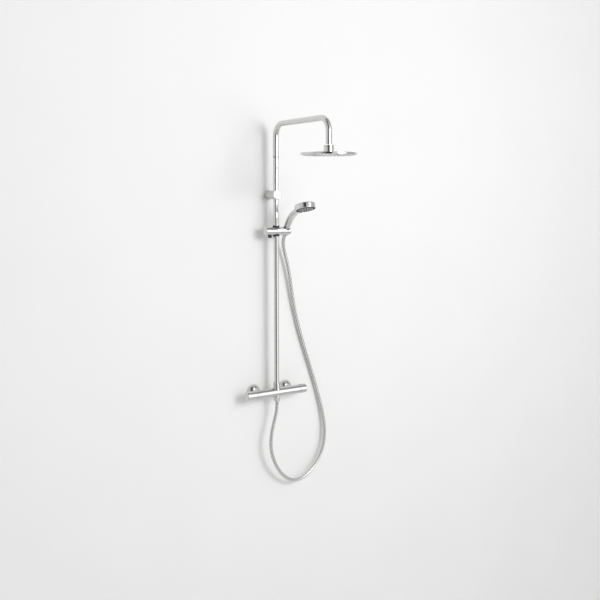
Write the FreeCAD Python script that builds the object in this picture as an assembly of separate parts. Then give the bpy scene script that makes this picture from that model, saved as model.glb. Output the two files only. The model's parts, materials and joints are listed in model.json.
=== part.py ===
import FreeCAD, Part
import math
import os

# Rainfall shower column: bar mixer, riser with overhead arm and rain head, slider, hand shower and hose.
#
# Millimetres, +Z up. The wall is the plane Y = 0 and the column stands out of it towards -Y.
# The origin is on the wall, midway between the two inlets, at the height of the mixer's axis.
# Each physical piece is a solid in its own STEP file; identical pieces share one file.

V = FreeCAD.Vector
X_AXIS = V(1, 0, 0)
Y_AXIS = V(0, 1, 0)
Z_AXIS = V(0, 0, 1)
ORIGIN = V(0, 0, 0)

# ---- column and wall -----------------------------------------------------------------------
WALL_GAP = 60.0            # wall to the axis of mixer, riser and slider
AXIS_Y = -WALL_GAP
FIT = 0.05                 # radial clearance of a fit that turns, slides or plugs in
LOOSE = 0.3                # clearance between curved faces of two moving bodies
TIGHT = 0.02               # radial clearance of a fit that is pressed or glued
WALL = 1.2                 # thickness of pressed and drawn shells
OVER = 1.0                 # how far a cutting tool reaches past the face that it starts from

# ---- inlets --------------------------------------------------------------------------------
INLET_SPACING = 150.0      # standard centre distance of bar mixer inlets
G_HALF_R = 10.48           # G1/2 thread
G_34_R = 13.22             # G3/4 thread
STUD_DEPTH = 18.0          # length of the G1/2 stud inside the wall
INLETS_X = (-INLET_SPACING / 2, INLET_SPACING / 2)
UNION_NECK = 14.0          # length of the union's plain neck
UNION_NECK_R = 11.5
UNION_LENGTH = 30.0        # wall to the union's sealing face
UNION_WASHER_R = 12.0
UNION_WASHER_BORE = 8.0
INLET_BORE_R = 7.0
VALVE_BORE_R = 3.5
VALVE_LENGTH = 10.0
NUT_ACROSS_FLATS = 30.0
ROSE_R = 30.0
ROSE_DEPTH = 20.0
SEAL_T = 2.0

# ---- mixer ---------------------------------------------------------------------------------
MIXER_R = 18.0
MIXER_LEFT = -95.0
MIXER_RIGHT = 104.5
HANDLE_GAP = 0.5
LEFT_HANDLE = 42.5
RIGHT_HANDLE = 30.0
CAVITY_R = 14.0
END_CHAMFER = 0.6
CARTRIDGE_INSET = 3.5
LEFT_CARTRIDGE = 40.0
RIGHT_CARTRIDGE = 62.0
SPINDLE_R = 4.0
SPINDLE_INSIDE = 14.0      # length of the spindle inside the mixer, from the handle's foot
SPINDLE_THREAD = 5.0       # where the spindle's threaded hole starts, outside the mixer
CARTRIDGE_BORE_R = 5.0
CARTRIDGE_FLOOR = 20.0     # depth at which the cartridge's waterway starts
PORT_DEPTH = 2.5
PORT_LOW = 12.0            # the ports' band, from the cartridge's inner end
PORT_HIGH = 22.0
PASSAGE_R = 4.0
PASSAGE_OFFSET = 8.0       # waterways run this far from the mixer's axis
TOP_BOSS_R = 15.3
TOP_BOSS_Z = 19.0
NIPPLE_LENGTH = 11.5
BOTTOM_BOSS_R = 13.0
BOSS_BORE_R = 6.0
BOSS_ROOT = 8.0            # bosses start this far from the mixer's axis
BOSS_BORE_START = 5.0
TAIL_R = 10.5              # tails that the union nuts hold
TAIL_COLLAR_R = 12.9
TAIL_COLLAR = 2.5
TAIL_BORE_START = 11.0

# ---- handles -------------------------------------------------------------------------------
HANDLE_SKIRT = 13.0        # depth of the handle's inner hollow, from the mixer outwards
HANDLE_WEB = 3.0
HANDLE_SHELL = 2.5
HANDLE_EDGE = 2.5
RECESS_STEP = 1.5          # the outer recess is this much narrower than the skirt
HUB_R = 6.5
HUB_START = 2.0
HANDLE_SCREW_R = 2.0
HANDLE_SCREW_START = 6.0
HANDLE_SCREW_HEAD_R = 3.8
HANDLE_SCREW_HEAD = 2.5
SCREW_SOCKET_R = 1.3
CAP_PLUG = 6.0
CAP_PROUD = 0.5
CAP_EDGE = 0.8
CAP_SKIRT = 1.5
CAP_THICK = 2.0

# ---- stop button ---------------------------------------------------------------------------
STOP_X = MIXER_RIGHT + HANDLE_GAP + 6.8
STOP_LENGTH = 9.0
STOP_WIDTH = 8.0
STOP_FOOT = 10.8           # height of the stop button's lower face over the mixer's axis
STOP_PROUD = 1.0
STOP_FLANGE = 1.2
STOP_FLANGE_T = 1.5
STOP_WINDOW = 0.35         # clearance round the button in the handle's window
STOP_GRIPS = 4
STOP_GRIP_START = 1.4
STOP_GRIP_PITCH = 2.0
STOP_GRIP_WIDTH = 0.7
STOP_GRIP_FOOT = 0.4       # the grip's grooves stop this far above the mixer's surface
STOP_SPRING_R = 3.0
STOP_SPRING_BORE = 2.0

# ---- riser and arm -------------------------------------------------------------------------
RISER_R = 10.0
RISER_BORE = 8.8
RISER_BOTTOM = TOP_BOSS_Z + NIPPLE_LENGTH + SEAL_T
RISER_TOP = 929.0
RISER_NUT_R = 14.0
RISER_NUT_TOP = 39.0
RISER_NUT_EDGE = 1.5
RISER_NUT_FLANGE = 2.3
RISER_COLLAR = 2.0
SEAL_BORE_R = 6.5
SPIGOT_R = 8.0
SPIGOT_BORE_R = 4.5
SPIGOT_TOP = 985.0
SPIGOT_COLLAR = 2.0
SPIGOT_PLUG = 34.0
O_RING_HEIGHTS = (12.0, 28.0)      # over the spigot's collar
O_RING_T = 2.0
O_RING_PLAY = 0.1
BUSH_FLANGE = 2.0
BUSH_LENGTH = 42.0
BUSH_LOW = RISER_TOP + SPIGOT_COLLAR + 0.2
ARM_R = 11.0
ARM_BORE = 10.15
ARM_Z = 1057.0
ARM_BEND = 50.0
ARM_REACH = 363.0
ARM_END_Z = 965.0
ARM_LOW = BUSH_LOW + BUSH_FLANGE + 0.2
ARM_SCREW_Z = ARM_LOW + 14.0
ARM_SCREW_R = 2.0
ARM_SCREW_PROUD = 0.4
HEAD_Y = AXIS_Y - ARM_REACH

# ---- rain head and its ball joint ----------------------------------------------------------
BALL_Z = 948.0
BALL_R = 11.0
NECK_R = 5.0
STEM_PLUG = 18.0
STEM_FLANGE = 1.0
STEM_BORE_R = 3.0
SEAT_LOW = -0.45           # seat ring's lower and upper edge as parts of its radius
SEAT_HIGH = 0.37
SOCKET_HIGH = 0.55
SEAL_OUTER = 8.3
SEAL_INNER = 6.5
SEAL_LOW = 936.3
SEAT_INNER = BALL_R + LOOSE
SEAT_OUTER = SEAT_INNER + 1.3
SOCKET_R = SEAT_OUTER + LOOSE
COLLAR_R = 18.0
COLLAR_TOP = 960.5
COLLAR_MOUTH = 11.2
COLLAR_EDGE = 1.0
HEAD_R = 100.0
HEAD_TOP = 934.0
HEAD_THICK = 8.0
HEAD_EDGE = 1.5
HEAD_LIP = 1.0             # the face plate stands this far below the shell's rim
HEAD_BORE_R = 4.0
PLATE_T = 2.0
PLATE_EDGE = 0.6
MAT_R = 97.0
MAT_T = 1.2
HEAD_BOSS_R = 15.0
HEAD_BOSS_TOP = 941.0
NOZZLE_RINGS = 7
NOZZLE_PITCH = 12.6
NOZZLE_R = 1.5
NOZZLE_TIP_R = 1.1
NOZZLE_STAND = 2.0

# ---- wall bracket --------------------------------------------------------------------------
BRACKET_Z = 787.0
BRACKET_WALL_R = 19.0
BRACKET_NECK_R = 15.0
BRACKET_RING_R = 19.0
BRACKET_RING_BACK = -57.0
BRACKET_RING_FRONT = -71.5
BRACKET_COVER = 2.0
BRACKET_FOOT = 0.3         # gap between the barrel and the wall
BRACKET_RING_EDGE = 1.2
BRACKET_COVER_EDGE = 1.5
BRACKET_HOLLOW_R = 10.5
BRACKET_HOLLOW_END = 44.0
LINER_T = 0.6
LINER_HALF = 15.0          # half the length of the bracket's and the slider's liners
PEG_R = 1.4                # snap pegs of the bracket's cover, either side of the riser
PEG_X = 14.5
PEG_LENGTH = 5.0
BASE_SCREW_R = 2.6
BASE_R = 15.5
BASE_T = 5.0
STUB_R = 13.0
STUB_BORE_R = 9.0
STUB_END = 18.0
GRUB_R = 2.0
GRUB_OUT = 11.0            # wall to the grub screw's axis
GRUB_END = 17.6

# ---- slider --------------------------------------------------------------------------------
SLIDER_Z = 647.0
SLIDER_R = 17.0
SLIDER_LEFT = -49.0
SLIDER_JOINT = 20.0
SLIDER_RIGHT = 60.5
SLIDER_LINER_R = 11.2
SLIDER_BUSH_R = 13.0
BUSH_PROUD = 5.0
SLIDER_BORE_R = 11.0
END_CAP_T = 3.0
BUTTON_X = -28.0
BUTTON_R = 7.5
BUTTON_BOTTOM = 621.0
BUTTON_TOP = 638.0
BUTTON_EDGE = 1.5
END_CAP_EDGE = 1.8
END_CAP_PLUG = 4.0
END_CAP_WALL = 1.9
SHOE_R = 8.0
SHOE_GAP = 0.6             # between the brake shoe and the button
SLIDER_SPRING_R = 4.5
SLIDER_SPRING_BORE = 3.2
PIVOT_R = 5.0
PIVOT_LEFT = 14.0
PIVOT_RIGHT = 29.0

# ---- holder, hand shower and its nut -------------------------------------------------------
HOLDER_X = 45.0
HOLDER_TILT = 30.0
INSERT_R = 13.5
INSERT_PROUD = 1.0
CONE_TOP_R = 12.0
CONE_END_R = 10.0
CONE_TOP = 18.7
CONE_END = -20.0
HOSE_SLOT = 16.0
HOLDER_EDGE = 1.5
TOOL_REACH = 40.0          # half length of the tools that cut through the bars
HANDLE_BASE = 19.0
HANDLE_RADII = (12.4, 13.4, 13.6, 13.2, 12.2, 10.6)
FACE_OUT = 204.0
FACE_Z = 732.0
FACE_TILT = 17.5
SHOWER_R = 40.0
SHOWER_THICK = 22.0
SHOWER_TOP_EDGE = 4.0
SHOWER_LOW_EDGE = 1.5
SHOWER_WALL = 3.0
SPRAY_POCKET = 6.0
SPRAY_GAP = 0.4
ARC_END_BACK = 34.0        # the handle's arc ends this far behind the face's centre, towards the wall
ARC_END_UP = 11.0          # and this far above the face
HANDLE_WATERWAY_R = 5.5
INLET_NIPPLE_BORE = 6.0
INLET_NIPPLE = 6.5         # length of the inlet nipple inside the handle
SPRAY_R = 36.5
SPRAY_RINGS = 4
SPRAY_PITCH = 6.6
SPRAY_RING_WIDTH = 4.0
SPRAY_RING_LOW = 0.3
SPRAY_RING_HIGH = 5.6
SPRAY_NOTCHES = 36
SPRAY_NOTCH_R = 1.0
SPRAY_NOTCH_HIGH = 3.0
SPRAY_PLATE_LOW = 0.6
SPRAY_PLATE_HIGH = 4.0
SPRAY_HOLE_R = 1.05
SPRAY_TIP_R = 0.7
SPRAY_NOZZLE_R = 1.0
SPRAY_STAND = 0.9

# ---- hose ----------------------------------------------------------------------------------
HOSE_R = 7.0
HOSE_NUT_R = 12.0
HOSE_NUT_EDGE = 0.8
HOSE_NUT_FLUTES = 12
FLUTE_R = 1.2
FERRULE_END = -52.0
FERRULE_R = 8.2
FERRULE_BORE_R = 4.0
FERRULE_FLANGE = 3.0
LOWER_FERRULE_R = 7.7
ROUTE_SHARE = 0.45         # part of a run that the arc at each of its ends may take
HOSE_ROUTE = [
    (0.0, -60.0, -52.0),
    (0.0, -60.0, -77.0),
    (-13.0, -61.0, -119.0),
    (-28.0, -62.0, -173.0),
    (-30.0, -61.0, -230.0),
    (-13.0, -58.0, -289.0),
    (22.0, -52.0, -345.0),
    (66.0, -45.0, -384.0),
    (119.0, -39.0, -397.0),
    (174.0, -34.0, -377.0),
    (223.0, -29.0, -330.0),
    (255.0, -24.0, -268.0),
    (262.0, -20.0, -196.0),
    (250.0, -15.0, -118.0),
    (228.0, -11.0, -36.0),
    (201.0, -10.0, 48.0),
    (165.0, -11.0, 150.0),
    (131.0, -12.0, 254.0),
    (107.0, -15.0, 350.0),
    (92.0, -19.0, 432.0),
    (76.0, -23.0, 506.0),
    (56.0, -25.0, 571.0),
    (45.0, -35.0, 603.7),
    (45.0, -50.0, 629.6),
]


# ---- building blocks -----------------------------------------------------------------------
def cylinder(radius, start, end):
    """Solid cylinder between two points."""
    axis = end - start
    return Part.makeCylinder(radius, axis.Length, start, axis)


def tube(outer, inner, start, end):
    """Cylinder with a through bore."""
    return cylinder(outer, start, end).cut(cylinder(inner, start, end))


def cone(start_radius, end_radius, start, end):
    """Truncated cone between two points."""
    axis = end - start
    return Part.makeCone(start_radius, end_radius, axis.Length, start, axis)


def ring_z(outer, inner, low, high, x=0.0, y=AXIS_Y):
    """Tube whose axis is vertical."""
    return tube(outer, inner, V(x, y, low), V(x, y, high))


def disc_z(radius, low, high, x=0.0, y=AXIS_Y):
    """Cylinder whose axis is vertical."""
    return cylinder(radius, V(x, y, low), V(x, y, high))


def box(low, high):
    """Box from its lowest corner to its highest."""
    size = high - low
    return Part.makeBox(size.x, size.y, size.z, low)


def sphere(radius, centre):
    return Part.makeSphere(radius, centre)


def fused(first, *others):
    """Union of touching solids with the seams between them removed."""
    return first.fuse(list(others)).removeSplitter()


def cut(shape, *tools):
    """The shape less each tool."""
    return shape.cut(list(tools))


def softened(shape, radius, wanted):
    """Rounds the circular edges for which wanted(edge) is true."""
    edges = [edge for edge in shape.Edges if wanted(edge)]
    return shape.makeFillet(radius, edges)


def circle_at(height, radius):
    """Edge test for a full circle of this radius at this local height."""
    def test(edge):
        curve = edge.Curve
        if not isinstance(curve, Part.Circle):
            return False
        return abs(curve.Radius - radius) < 0.01 and abs(curve.Center.z - height) < 0.01
    return test


def hexagon(across_flats, low, high):
    """Hexagonal prism along Z, centred on the Z axis, with its corners turned off."""
    radius = across_flats / math.sqrt(3.0)
    corners = [V(radius * math.cos(math.radians(60 * k)), radius * math.sin(math.radians(60 * k)), low)
               for k in range(7)]
    prism = Part.Face(Part.makePolygon(corners)).extrude(V(0, 0, high - low))
    trim = radius * 0.97
    return prism.common(cylinder(trim, V(0, 0, low), V(0, 0, high)))


def aimed(shape, turn_axis, angle, place):
    """Turns a shape built about the origin, then moves it to its place."""
    shape = shape.copy()
    shape.rotate(ORIGIN, turn_axis, angle)
    shape.translate(place)
    return shape


def rings_of_points(rings, pitch):
    """Centre point and rings of 6, 12, 18 ... evenly spaced points."""
    points = [(0.0, 0.0)]
    for ring in range(1, rings + 1):
        for step in range(6 * ring):
            angle = 2.0 * math.pi * step / (6 * ring)
            points.append((ring * pitch * math.cos(angle), ring * pitch * math.sin(angle)))
    return points


def export(name, shape):
    shape.exportStep("parts/" + name + ".step")
    print(name, "solids", len(shape.Solids), "valid", shape.isValid(), "volume", round(shape.Volume, 1))


# ---- inlets --------------------------------------------------------------------------------
def out_of_wall(shape, x):
    """Takes a shape whose local +Z points out of the wall to the inlet at x."""
    return aimed(shape, X_AXIS, 90, V(x, 0, 0))


def inlet_union():
    stud = cylinder(G_HALF_R, V(0, 0, -STUD_DEPTH), ORIGIN)
    neck = cylinder(UNION_NECK_R, ORIGIN, V(0, 0, UNION_NECK))
    end = cylinder(G_34_R, V(0, 0, UNION_NECK), V(0, 0, UNION_LENGTH))
    bore = cylinder(INLET_BORE_R, V(0, 0, -STUD_DEPTH - OVER), V(0, 0, UNION_LENGTH + OVER))
    return cut(fused(stud, neck, end), bore)


def escutcheon():
    """Domed wall rose: part of a sphere with a flat front and a hole for the union."""
    hole_r = G_34_R + 0.2
    front_r = hole_r + WALL
    centre = (ROSE_R ** 2 - front_r ** 2 - ROSE_DEPTH ** 2) / (2.0 * ROSE_DEPTH)
    radius = math.hypot(ROSE_R, centre)
    outer = sphere(radius, V(0, 0, -centre))
    outer = outer.common(cylinder(ROSE_R + OVER, ORIGIN, V(0, 0, ROSE_DEPTH)))
    hollow = sphere(radius - WALL, V(0, 0, -centre))
    hollow = hollow.common(cylinder(ROSE_R, V(0, 0, -OVER), V(0, 0, ROSE_DEPTH - WALL)))
    hole = cylinder(hole_r, V(0, 0, -OVER), V(0, 0, ROSE_DEPTH + OVER))
    return cut(outer, hollow, hole)


def union_nut():
    """Nut that pulls the mixer's tail against the union; it has a shoulder behind the tail's collar."""
    low = ROSE_DEPTH + 1.0
    high = WALL_GAP - MIXER_R - 1.5
    shoulder = UNION_LENGTH + SEAL_T + TAIL_COLLAR + 0.1
    nut = hexagon(NUT_ACROSS_FLATS, low, high)
    thread = cylinder(G_34_R + FIT, V(0, 0, low - 1), V(0, 0, shoulder))
    hole = cylinder(TAIL_R + 0.2, V(0, 0, shoulder - 1), V(0, 0, high + 1))
    return cut(nut, thread, hole)


def inlet_washer():
    return tube(UNION_WASHER_R, UNION_WASHER_BORE, V(0, 0, UNION_LENGTH), V(0, 0, UNION_LENGTH + SEAL_T))


def check_valve():
    """Non-return valve in the mixer's tail, just past the washer."""
    low = UNION_LENGTH + SEAL_T + 1.0
    return tube(INLET_BORE_R - FIT, VALVE_BORE_R, V(0, 0, low), V(0, 0, low + VALVE_LENGTH))


def make_inlets():
    for name, make in (("inlet_unions", inlet_union), ("escutcheons", escutcheon), ("union_nuts", union_nut),
                       ("union_washers", inlet_washer), ("check_valves", check_valve)):
        export(name, Part.makeCompound([out_of_wall(make(), x) for x in INLETS_X]))


# ---- mixer ---------------------------------------------------------------------------------
def along_x(radius, start, end, y=AXIS_Y, z=0.0):
    return cylinder(radius, V(start, y, z), V(end, y, z))


def mixer_body():
    tail_y = -(UNION_LENGTH + SEAL_T)
    solids = [along_x(MIXER_R, MIXER_LEFT, MIXER_RIGHT)]
    tools = []
    for x in INLETS_X:
        solids.append(cylinder(TAIL_R, V(x, AXIS_Y, 0), V(x, tail_y, 0)))
        solids.append(cylinder(TAIL_COLLAR_R, V(x, tail_y - TAIL_COLLAR, 0), V(x, tail_y, 0)))
        tools.append(cylinder(INLET_BORE_R, V(x, AXIS_Y + TAIL_BORE_START, 0), V(x, tail_y + OVER, 0)))
    nipple_top = TOP_BOSS_Z + NIPPLE_LENGTH
    solids.append(disc_z(TOP_BOSS_R, BOSS_ROOT, TOP_BOSS_Z))
    solids.append(disc_z(G_HALF_R, TOP_BOSS_Z, nipple_top))
    solids.append(disc_z(BOTTOM_BOSS_R, -TOP_BOSS_Z, -BOSS_ROOT))
    solids.append(disc_z(G_HALF_R, -nipple_top, -TOP_BOSS_Z))
    left_floor = MIXER_LEFT + CARTRIDGE_INSET + LEFT_CARTRIDGE + OVER
    right_floor = MIXER_RIGHT - CARTRIDGE_INSET - RIGHT_CARTRIDGE - OVER
    tools.append(along_x(CAVITY_R, MIXER_LEFT - OVER, left_floor))
    tools.append(along_x(CAVITY_R, right_floor, MIXER_RIGHT + OVER))
    tools.append(along_x(PASSAGE_R, left_floor - OVER, right_floor + OVER, AXIS_Y - PASSAGE_OFFSET))
    for side in (1, -1):
        inner = V(0, AXIS_Y, side * BOSS_BORE_START)
        outer = V(0, AXIS_Y, side * (nipple_top + OVER))
        tools.append(cylinder(BOSS_BORE_R, inner, outer))
        tools.append(along_x(PASSAGE_R, left_floor - OVER, 0.0, AXIS_Y, side * PASSAGE_OFFSET))
    body = cut(fused(*solids), *tools)
    ends = [edge for edge in body.Edges
            if isinstance(edge.Curve, Part.Circle) and abs(edge.Curve.Radius - MIXER_R) < 0.01
            and (edge.Curve.Center.x < MIXER_LEFT + 0.1 or edge.Curve.Center.x > MIXER_RIGHT - 0.1)]
    return body.makeChamfer(END_CHAMFER, ends)


def on_mixer_end(shape, side):
    """Takes a shape whose local +Z leads out of the mixer to its left (-1) or right (+1) end."""
    face = MIXER_LEFT - HANDLE_GAP if side < 0 else MIXER_RIGHT + HANDLE_GAP
    return aimed(shape, Y_AXIS, 90 * side, V(face, AXIS_Y, 0))


def handle_shell(length):
    """Round shell with a skirt over the mixer's end, an outer recess, and a hub for the spindle."""
    inner_r = MIXER_R - HANDLE_SHELL
    web_end = HANDLE_SKIRT + HANDLE_WEB
    shell = cylinder(MIXER_R, ORIGIN, V(0, 0, length))
    shell = softened(shell, HANDLE_EDGE, circle_at(length, MIXER_R))
    shell = softened(shell, END_CHAMFER, circle_at(0.0, MIXER_R))
    skirt = cylinder(inner_r, V(0, 0, -OVER), V(0, 0, HANDLE_SKIRT))
    recess = cylinder(inner_r - RECESS_STEP, V(0, 0, web_end), V(0, 0, length + OVER))
    hub = cylinder(HUB_R, V(0, 0, HUB_START), V(0, 0, HANDLE_SKIRT + 0.5))
    bore = cylinder(SPINDLE_R + TIGHT, V(0, 0, OVER), V(0, 0, HANDLE_SKIRT + OVER + 0.1))
    screw_hole = cylinder(HANDLE_SCREW_R + 0.1, V(0, 0, OVER), V(0, 0, web_end + OVER))
    return cut(fused(cut(shell, skirt, recess), hub), bore, screw_hole)


def handle_cap(length):
    """Disc that closes the handle's outer end, with a skirt that plugs into its recess."""
    plug_r = MIXER_R - HANDLE_SHELL - RECESS_STEP - FIT
    top = length + CAP_PROUD
    disc = cylinder(plug_r, V(0, 0, length - CAP_PLUG), V(0, 0, top))
    disc = softened(disc, CAP_EDGE, circle_at(top, plug_r))
    hollow = cylinder(plug_r - CAP_SKIRT, V(0, 0, length - CAP_PLUG - OVER), V(0, 0, length - CAP_THICK))
    return cut(disc, hollow)


def handle_screw():
    web = HANDLE_SKIRT + HANDLE_WEB
    shank = cylinder(HANDLE_SCREW_R, V(0, 0, HANDLE_SCREW_START), V(0, 0, web))
    head = cylinder(HANDLE_SCREW_HEAD_R, V(0, 0, web), V(0, 0, web + HANDLE_SCREW_HEAD))
    socket = cylinder(SCREW_SOCKET_R, V(0, 0, web + OVER), V(0, 0, web + HANDLE_SCREW_HEAD + OVER))
    return cut(fused(shank, head), socket)


def spindle():
    shaft = cylinder(SPINDLE_R, V(0, 0, -SPINDLE_INSIDE), V(0, 0, HANDLE_SKIRT + OVER))
    thread = cylinder(HANDLE_SCREW_R + TIGHT, V(0, 0, SPINDLE_THREAD), V(0, 0, HANDLE_SKIRT + 2 * OVER))
    return cut(shaft, thread)


def cartridge(length):
    """Body with a bore for the spindle, a waterway from its inner end, and a band of ports."""
    outer_end = -HANDLE_GAP - CARTRIDGE_INSET
    inner_end = outer_end - length
    body = cylinder(CAVITY_R - 0.1, V(0, 0, inner_end), V(0, 0, outer_end))
    bore = cylinder(SPINDLE_R + FIT, V(0, 0, -SPINDLE_INSIDE - 0.5), V(0, 0, outer_end + OVER))
    waterway = cylinder(CARTRIDGE_BORE_R, V(0, 0, inner_end - OVER), V(0, 0, -CARTRIDGE_FLOOR))
    port_low = V(0, 0, inner_end + PORT_LOW)
    port_high = V(0, 0, inner_end + PORT_HIGH)
    ports = tube(CAVITY_R + OVER, CAVITY_R - PORT_DEPTH, port_low, port_high)
    return cut(body, bore, waterway, ports)


def stop_button(clearance=0.0):
    """Button on top of the temperature handle; with a clearance, the window that it moves in."""
    half_length = STOP_LENGTH / 2 + clearance
    half_width = STOP_WIDTH / 2 + clearance
    low = V(STOP_X - half_length, AXIS_Y - half_width, STOP_FOOT)
    high = V(STOP_X + half_length, AXIS_Y + half_width, MIXER_R + 3)
    block = box(low, high)
    if clearance:
        return block
    flange_low = V(low.x - STOP_FLANGE, low.y - STOP_FLANGE, STOP_FOOT)
    flange_high = V(high.x + STOP_FLANGE, high.y + STOP_FLANGE, STOP_FOOT + STOP_FLANGE_T)
    crown = along_x(MIXER_R + STOP_PROUD, low.x - 2, high.x + 2)
    grooves = []
    for k in range(STOP_GRIPS):
        left = low.x + STOP_GRIP_START + STOP_GRIP_PITCH * k
        foot = V(left, AXIS_Y - STOP_WIDTH, MIXER_R + STOP_GRIP_FOOT)
        top = V(left + STOP_GRIP_WIDTH, AXIS_Y + STOP_WIDTH, 2 * MIXER_R)
        grooves.append(box(foot, top))
    return cut(fused(block, box(flange_low, flange_high)).common(crown), *grooves)


def make_mixer():
    export("mixer_body", mixer_body())
    export("diverter_cartridge", on_mixer_end(cartridge(LEFT_CARTRIDGE), -1))
    export("thermostat_cartridge", on_mixer_end(cartridge(RIGHT_CARTRIDGE), 1))
    for name, side, length in (("diverter", -1, LEFT_HANDLE), ("temperature", 1, RIGHT_HANDLE)):
        shell = on_mixer_end(handle_shell(length), side)
        if side > 0:
            shell = cut(shell, stop_button(clearance=STOP_WINDOW))
        export(name + "_handle", shell)
        export(name + "_handle_cap", on_mixer_end(handle_cap(length), side))
        export(name + "_handle_screw", on_mixer_end(handle_screw(), side))
        export(name + "_spindle", on_mixer_end(spindle(), side))
    export("stop_button", stop_button())
    spring = ring_z(STOP_SPRING_R, STOP_SPRING_BORE, HUB_R + 0.2, STOP_FOOT - 0.1, STOP_X)
    export("stop_button_spring", spring)


# ---- riser ---------------------------------------------------------------------------------
def riser_nut():
    low = TOP_BOSS_Z + 0.2
    body = disc_z(RISER_NUT_R, low, RISER_NUT_TOP)
    body = softened(body, RISER_NUT_EDGE, circle_at(RISER_NUT_TOP, RISER_NUT_R))
    flange = disc_z(TOP_BOSS_R, low, low + RISER_NUT_FLANGE)
    thread = disc_z(G_HALF_R + 0.6, 0, RISER_BOTTOM + RISER_COLLAR + 0.1)
    hole = disc_z(RISER_R + FIT, 0, RISER_NUT_TOP + OVER)
    return cut(fused(body, flange), thread, hole)


def lower_riser():
    pipe = disc_z(RISER_R, RISER_BOTTOM, RISER_TOP)
    collar = disc_z(G_HALF_R + 0.5, RISER_BOTTOM, RISER_BOTTOM + RISER_COLLAR)
    return cut(fused(pipe, collar), disc_z(RISER_BORE, 0, RISER_TOP + OVER))


def riser_spigot():
    """Insert in the riser's top that the telescopic bush slides on."""
    shoulder = RISER_TOP + SPIGOT_COLLAR
    plug = disc_z(RISER_BORE - FIT, RISER_TOP - SPIGOT_PLUG, RISER_TOP)
    collar = disc_z(RISER_R, RISER_TOP, shoulder)
    spigot = disc_z(SPIGOT_R, shoulder, SPIGOT_TOP)
    grooves = [ring_z(SPIGOT_R + OVER, SPIGOT_R - O_RING_T, shoulder + height, shoulder + height + O_RING_T)
               for height in O_RING_HEIGHTS]
    bore = disc_z(SPIGOT_BORE_R, RISER_TOP - SPIGOT_PLUG - OVER, SPIGOT_TOP + OVER)
    return cut(fused(plug, collar, spigot), bore, *grooves)


def spigot_o_rings():
    rings = []
    for height in O_RING_HEIGHTS:
        low = RISER_TOP + SPIGOT_COLLAR + height + O_RING_PLAY
        high = low + O_RING_T - 2 * O_RING_PLAY
        rings.append(ring_z(SPIGOT_R - TIGHT, SPIGOT_R - O_RING_T + TIGHT, low, high))
    return Part.makeCompound(rings)


def telescope_bush():
    sleeve = disc_z(ARM_BORE - FIT, BUSH_LOW, BUSH_LOW + BUSH_LENGTH)
    flange = disc_z(ARM_R, BUSH_LOW, BUSH_LOW + BUSH_FLANGE)
    return cut(fused(sleeve, flange), disc_z(SPIGOT_R + FIT, 0, SPIGOT_TOP))


def make_riser():
    seal_low = TOP_BOSS_Z + NIPPLE_LENGTH
    export("riser_nut", riser_nut())
    export("riser_seal", ring_z(G_HALF_R, SEAL_BORE_R, seal_low, seal_low + SEAL_T))
    export("lower_riser", lower_riser())
    export("riser_spigot", riser_spigot())
    export("spigot_o_rings", spigot_o_rings())
    export("telescope_bush", telescope_bush())


# ---- overhead arm --------------------------------------------------------------------------
def arm_path():
    """Up the riser, a quarter bend forwards, along, and a quarter bend down to the head."""
    bend = ARM_BEND
    dip = bend * math.sqrt(0.5)
    straight_top = ARM_Z - bend
    first = V(0, AXIS_Y, straight_top)
    first_end = V(0, AXIS_Y - bend, ARM_Z)
    first_mid = V(0, AXIS_Y - bend + dip, straight_top + dip)
    last = V(0, HEAD_Y + bend, ARM_Z)
    last_end = V(0, HEAD_Y, straight_top)
    last_mid = V(0, HEAD_Y + bend - dip, straight_top + dip)
    edges = [
        Part.LineSegment(V(0, AXIS_Y, ARM_LOW), first).toShape(),
        Part.Arc(first, first_mid, first_end).toShape(),
        Part.LineSegment(first_end, last).toShape(),
        Part.Arc(last, last_mid, last_end).toShape(),
        Part.LineSegment(last_end, V(0, HEAD_Y, ARM_END_Z)).toShape(),
    ]
    return Part.Wire(edges)


def pipe_along(path, radius, start, direction):
    profile = Part.Wire(Part.makeCircle(radius, start, direction))
    return path.makePipeShell([profile], True, False)


def arm_tube():
    path = arm_path()
    start = V(0, AXIS_Y, ARM_LOW)
    outer = pipe_along(path, ARM_R, start, Z_AXIS)
    inner = pipe_along(path, ARM_BORE, start, Z_AXIS)
    screw_hole = cylinder(ARM_SCREW_R + FIT, V(0, AXIS_Y + 5, ARM_SCREW_Z), V(0, AXIS_Y + 15, ARM_SCREW_Z))
    return cut(outer, inner, screw_hole)


def arm_set_screw():
    start = V(0, AXIS_Y + ARM_BORE + 0.1, ARM_SCREW_Z)
    end = V(0, AXIS_Y + ARM_R + ARM_SCREW_PROUD, ARM_SCREW_Z)
    return cylinder(ARM_SCREW_R, start, end)


def ball_stem():
    """Plug in the arm's end with the ball that the head tilts on."""
    plug = disc_z(ARM_BORE - FIT, ARM_END_Z, ARM_END_Z + STEM_PLUG, y=HEAD_Y)
    flange = disc_z(ARM_R, ARM_END_Z - STEM_FLANGE, ARM_END_Z, y=HEAD_Y)
    neck = disc_z(NECK_R, BALL_Z, ARM_END_Z - 0.5, y=HEAD_Y)
    ball = sphere(BALL_R, V(0, HEAD_Y, BALL_Z))
    bore = disc_z(STEM_BORE_R, BALL_Z - BALL_R - OVER, ARM_END_Z + STEM_PLUG + OVER, y=HEAD_Y)
    return cut(fused(plug, flange, neck, ball), bore)


def make_arm():
    export("arm_tube", arm_tube())
    export("arm_set_screw", arm_set_screw())
    export("ball_stem", ball_stem())


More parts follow.
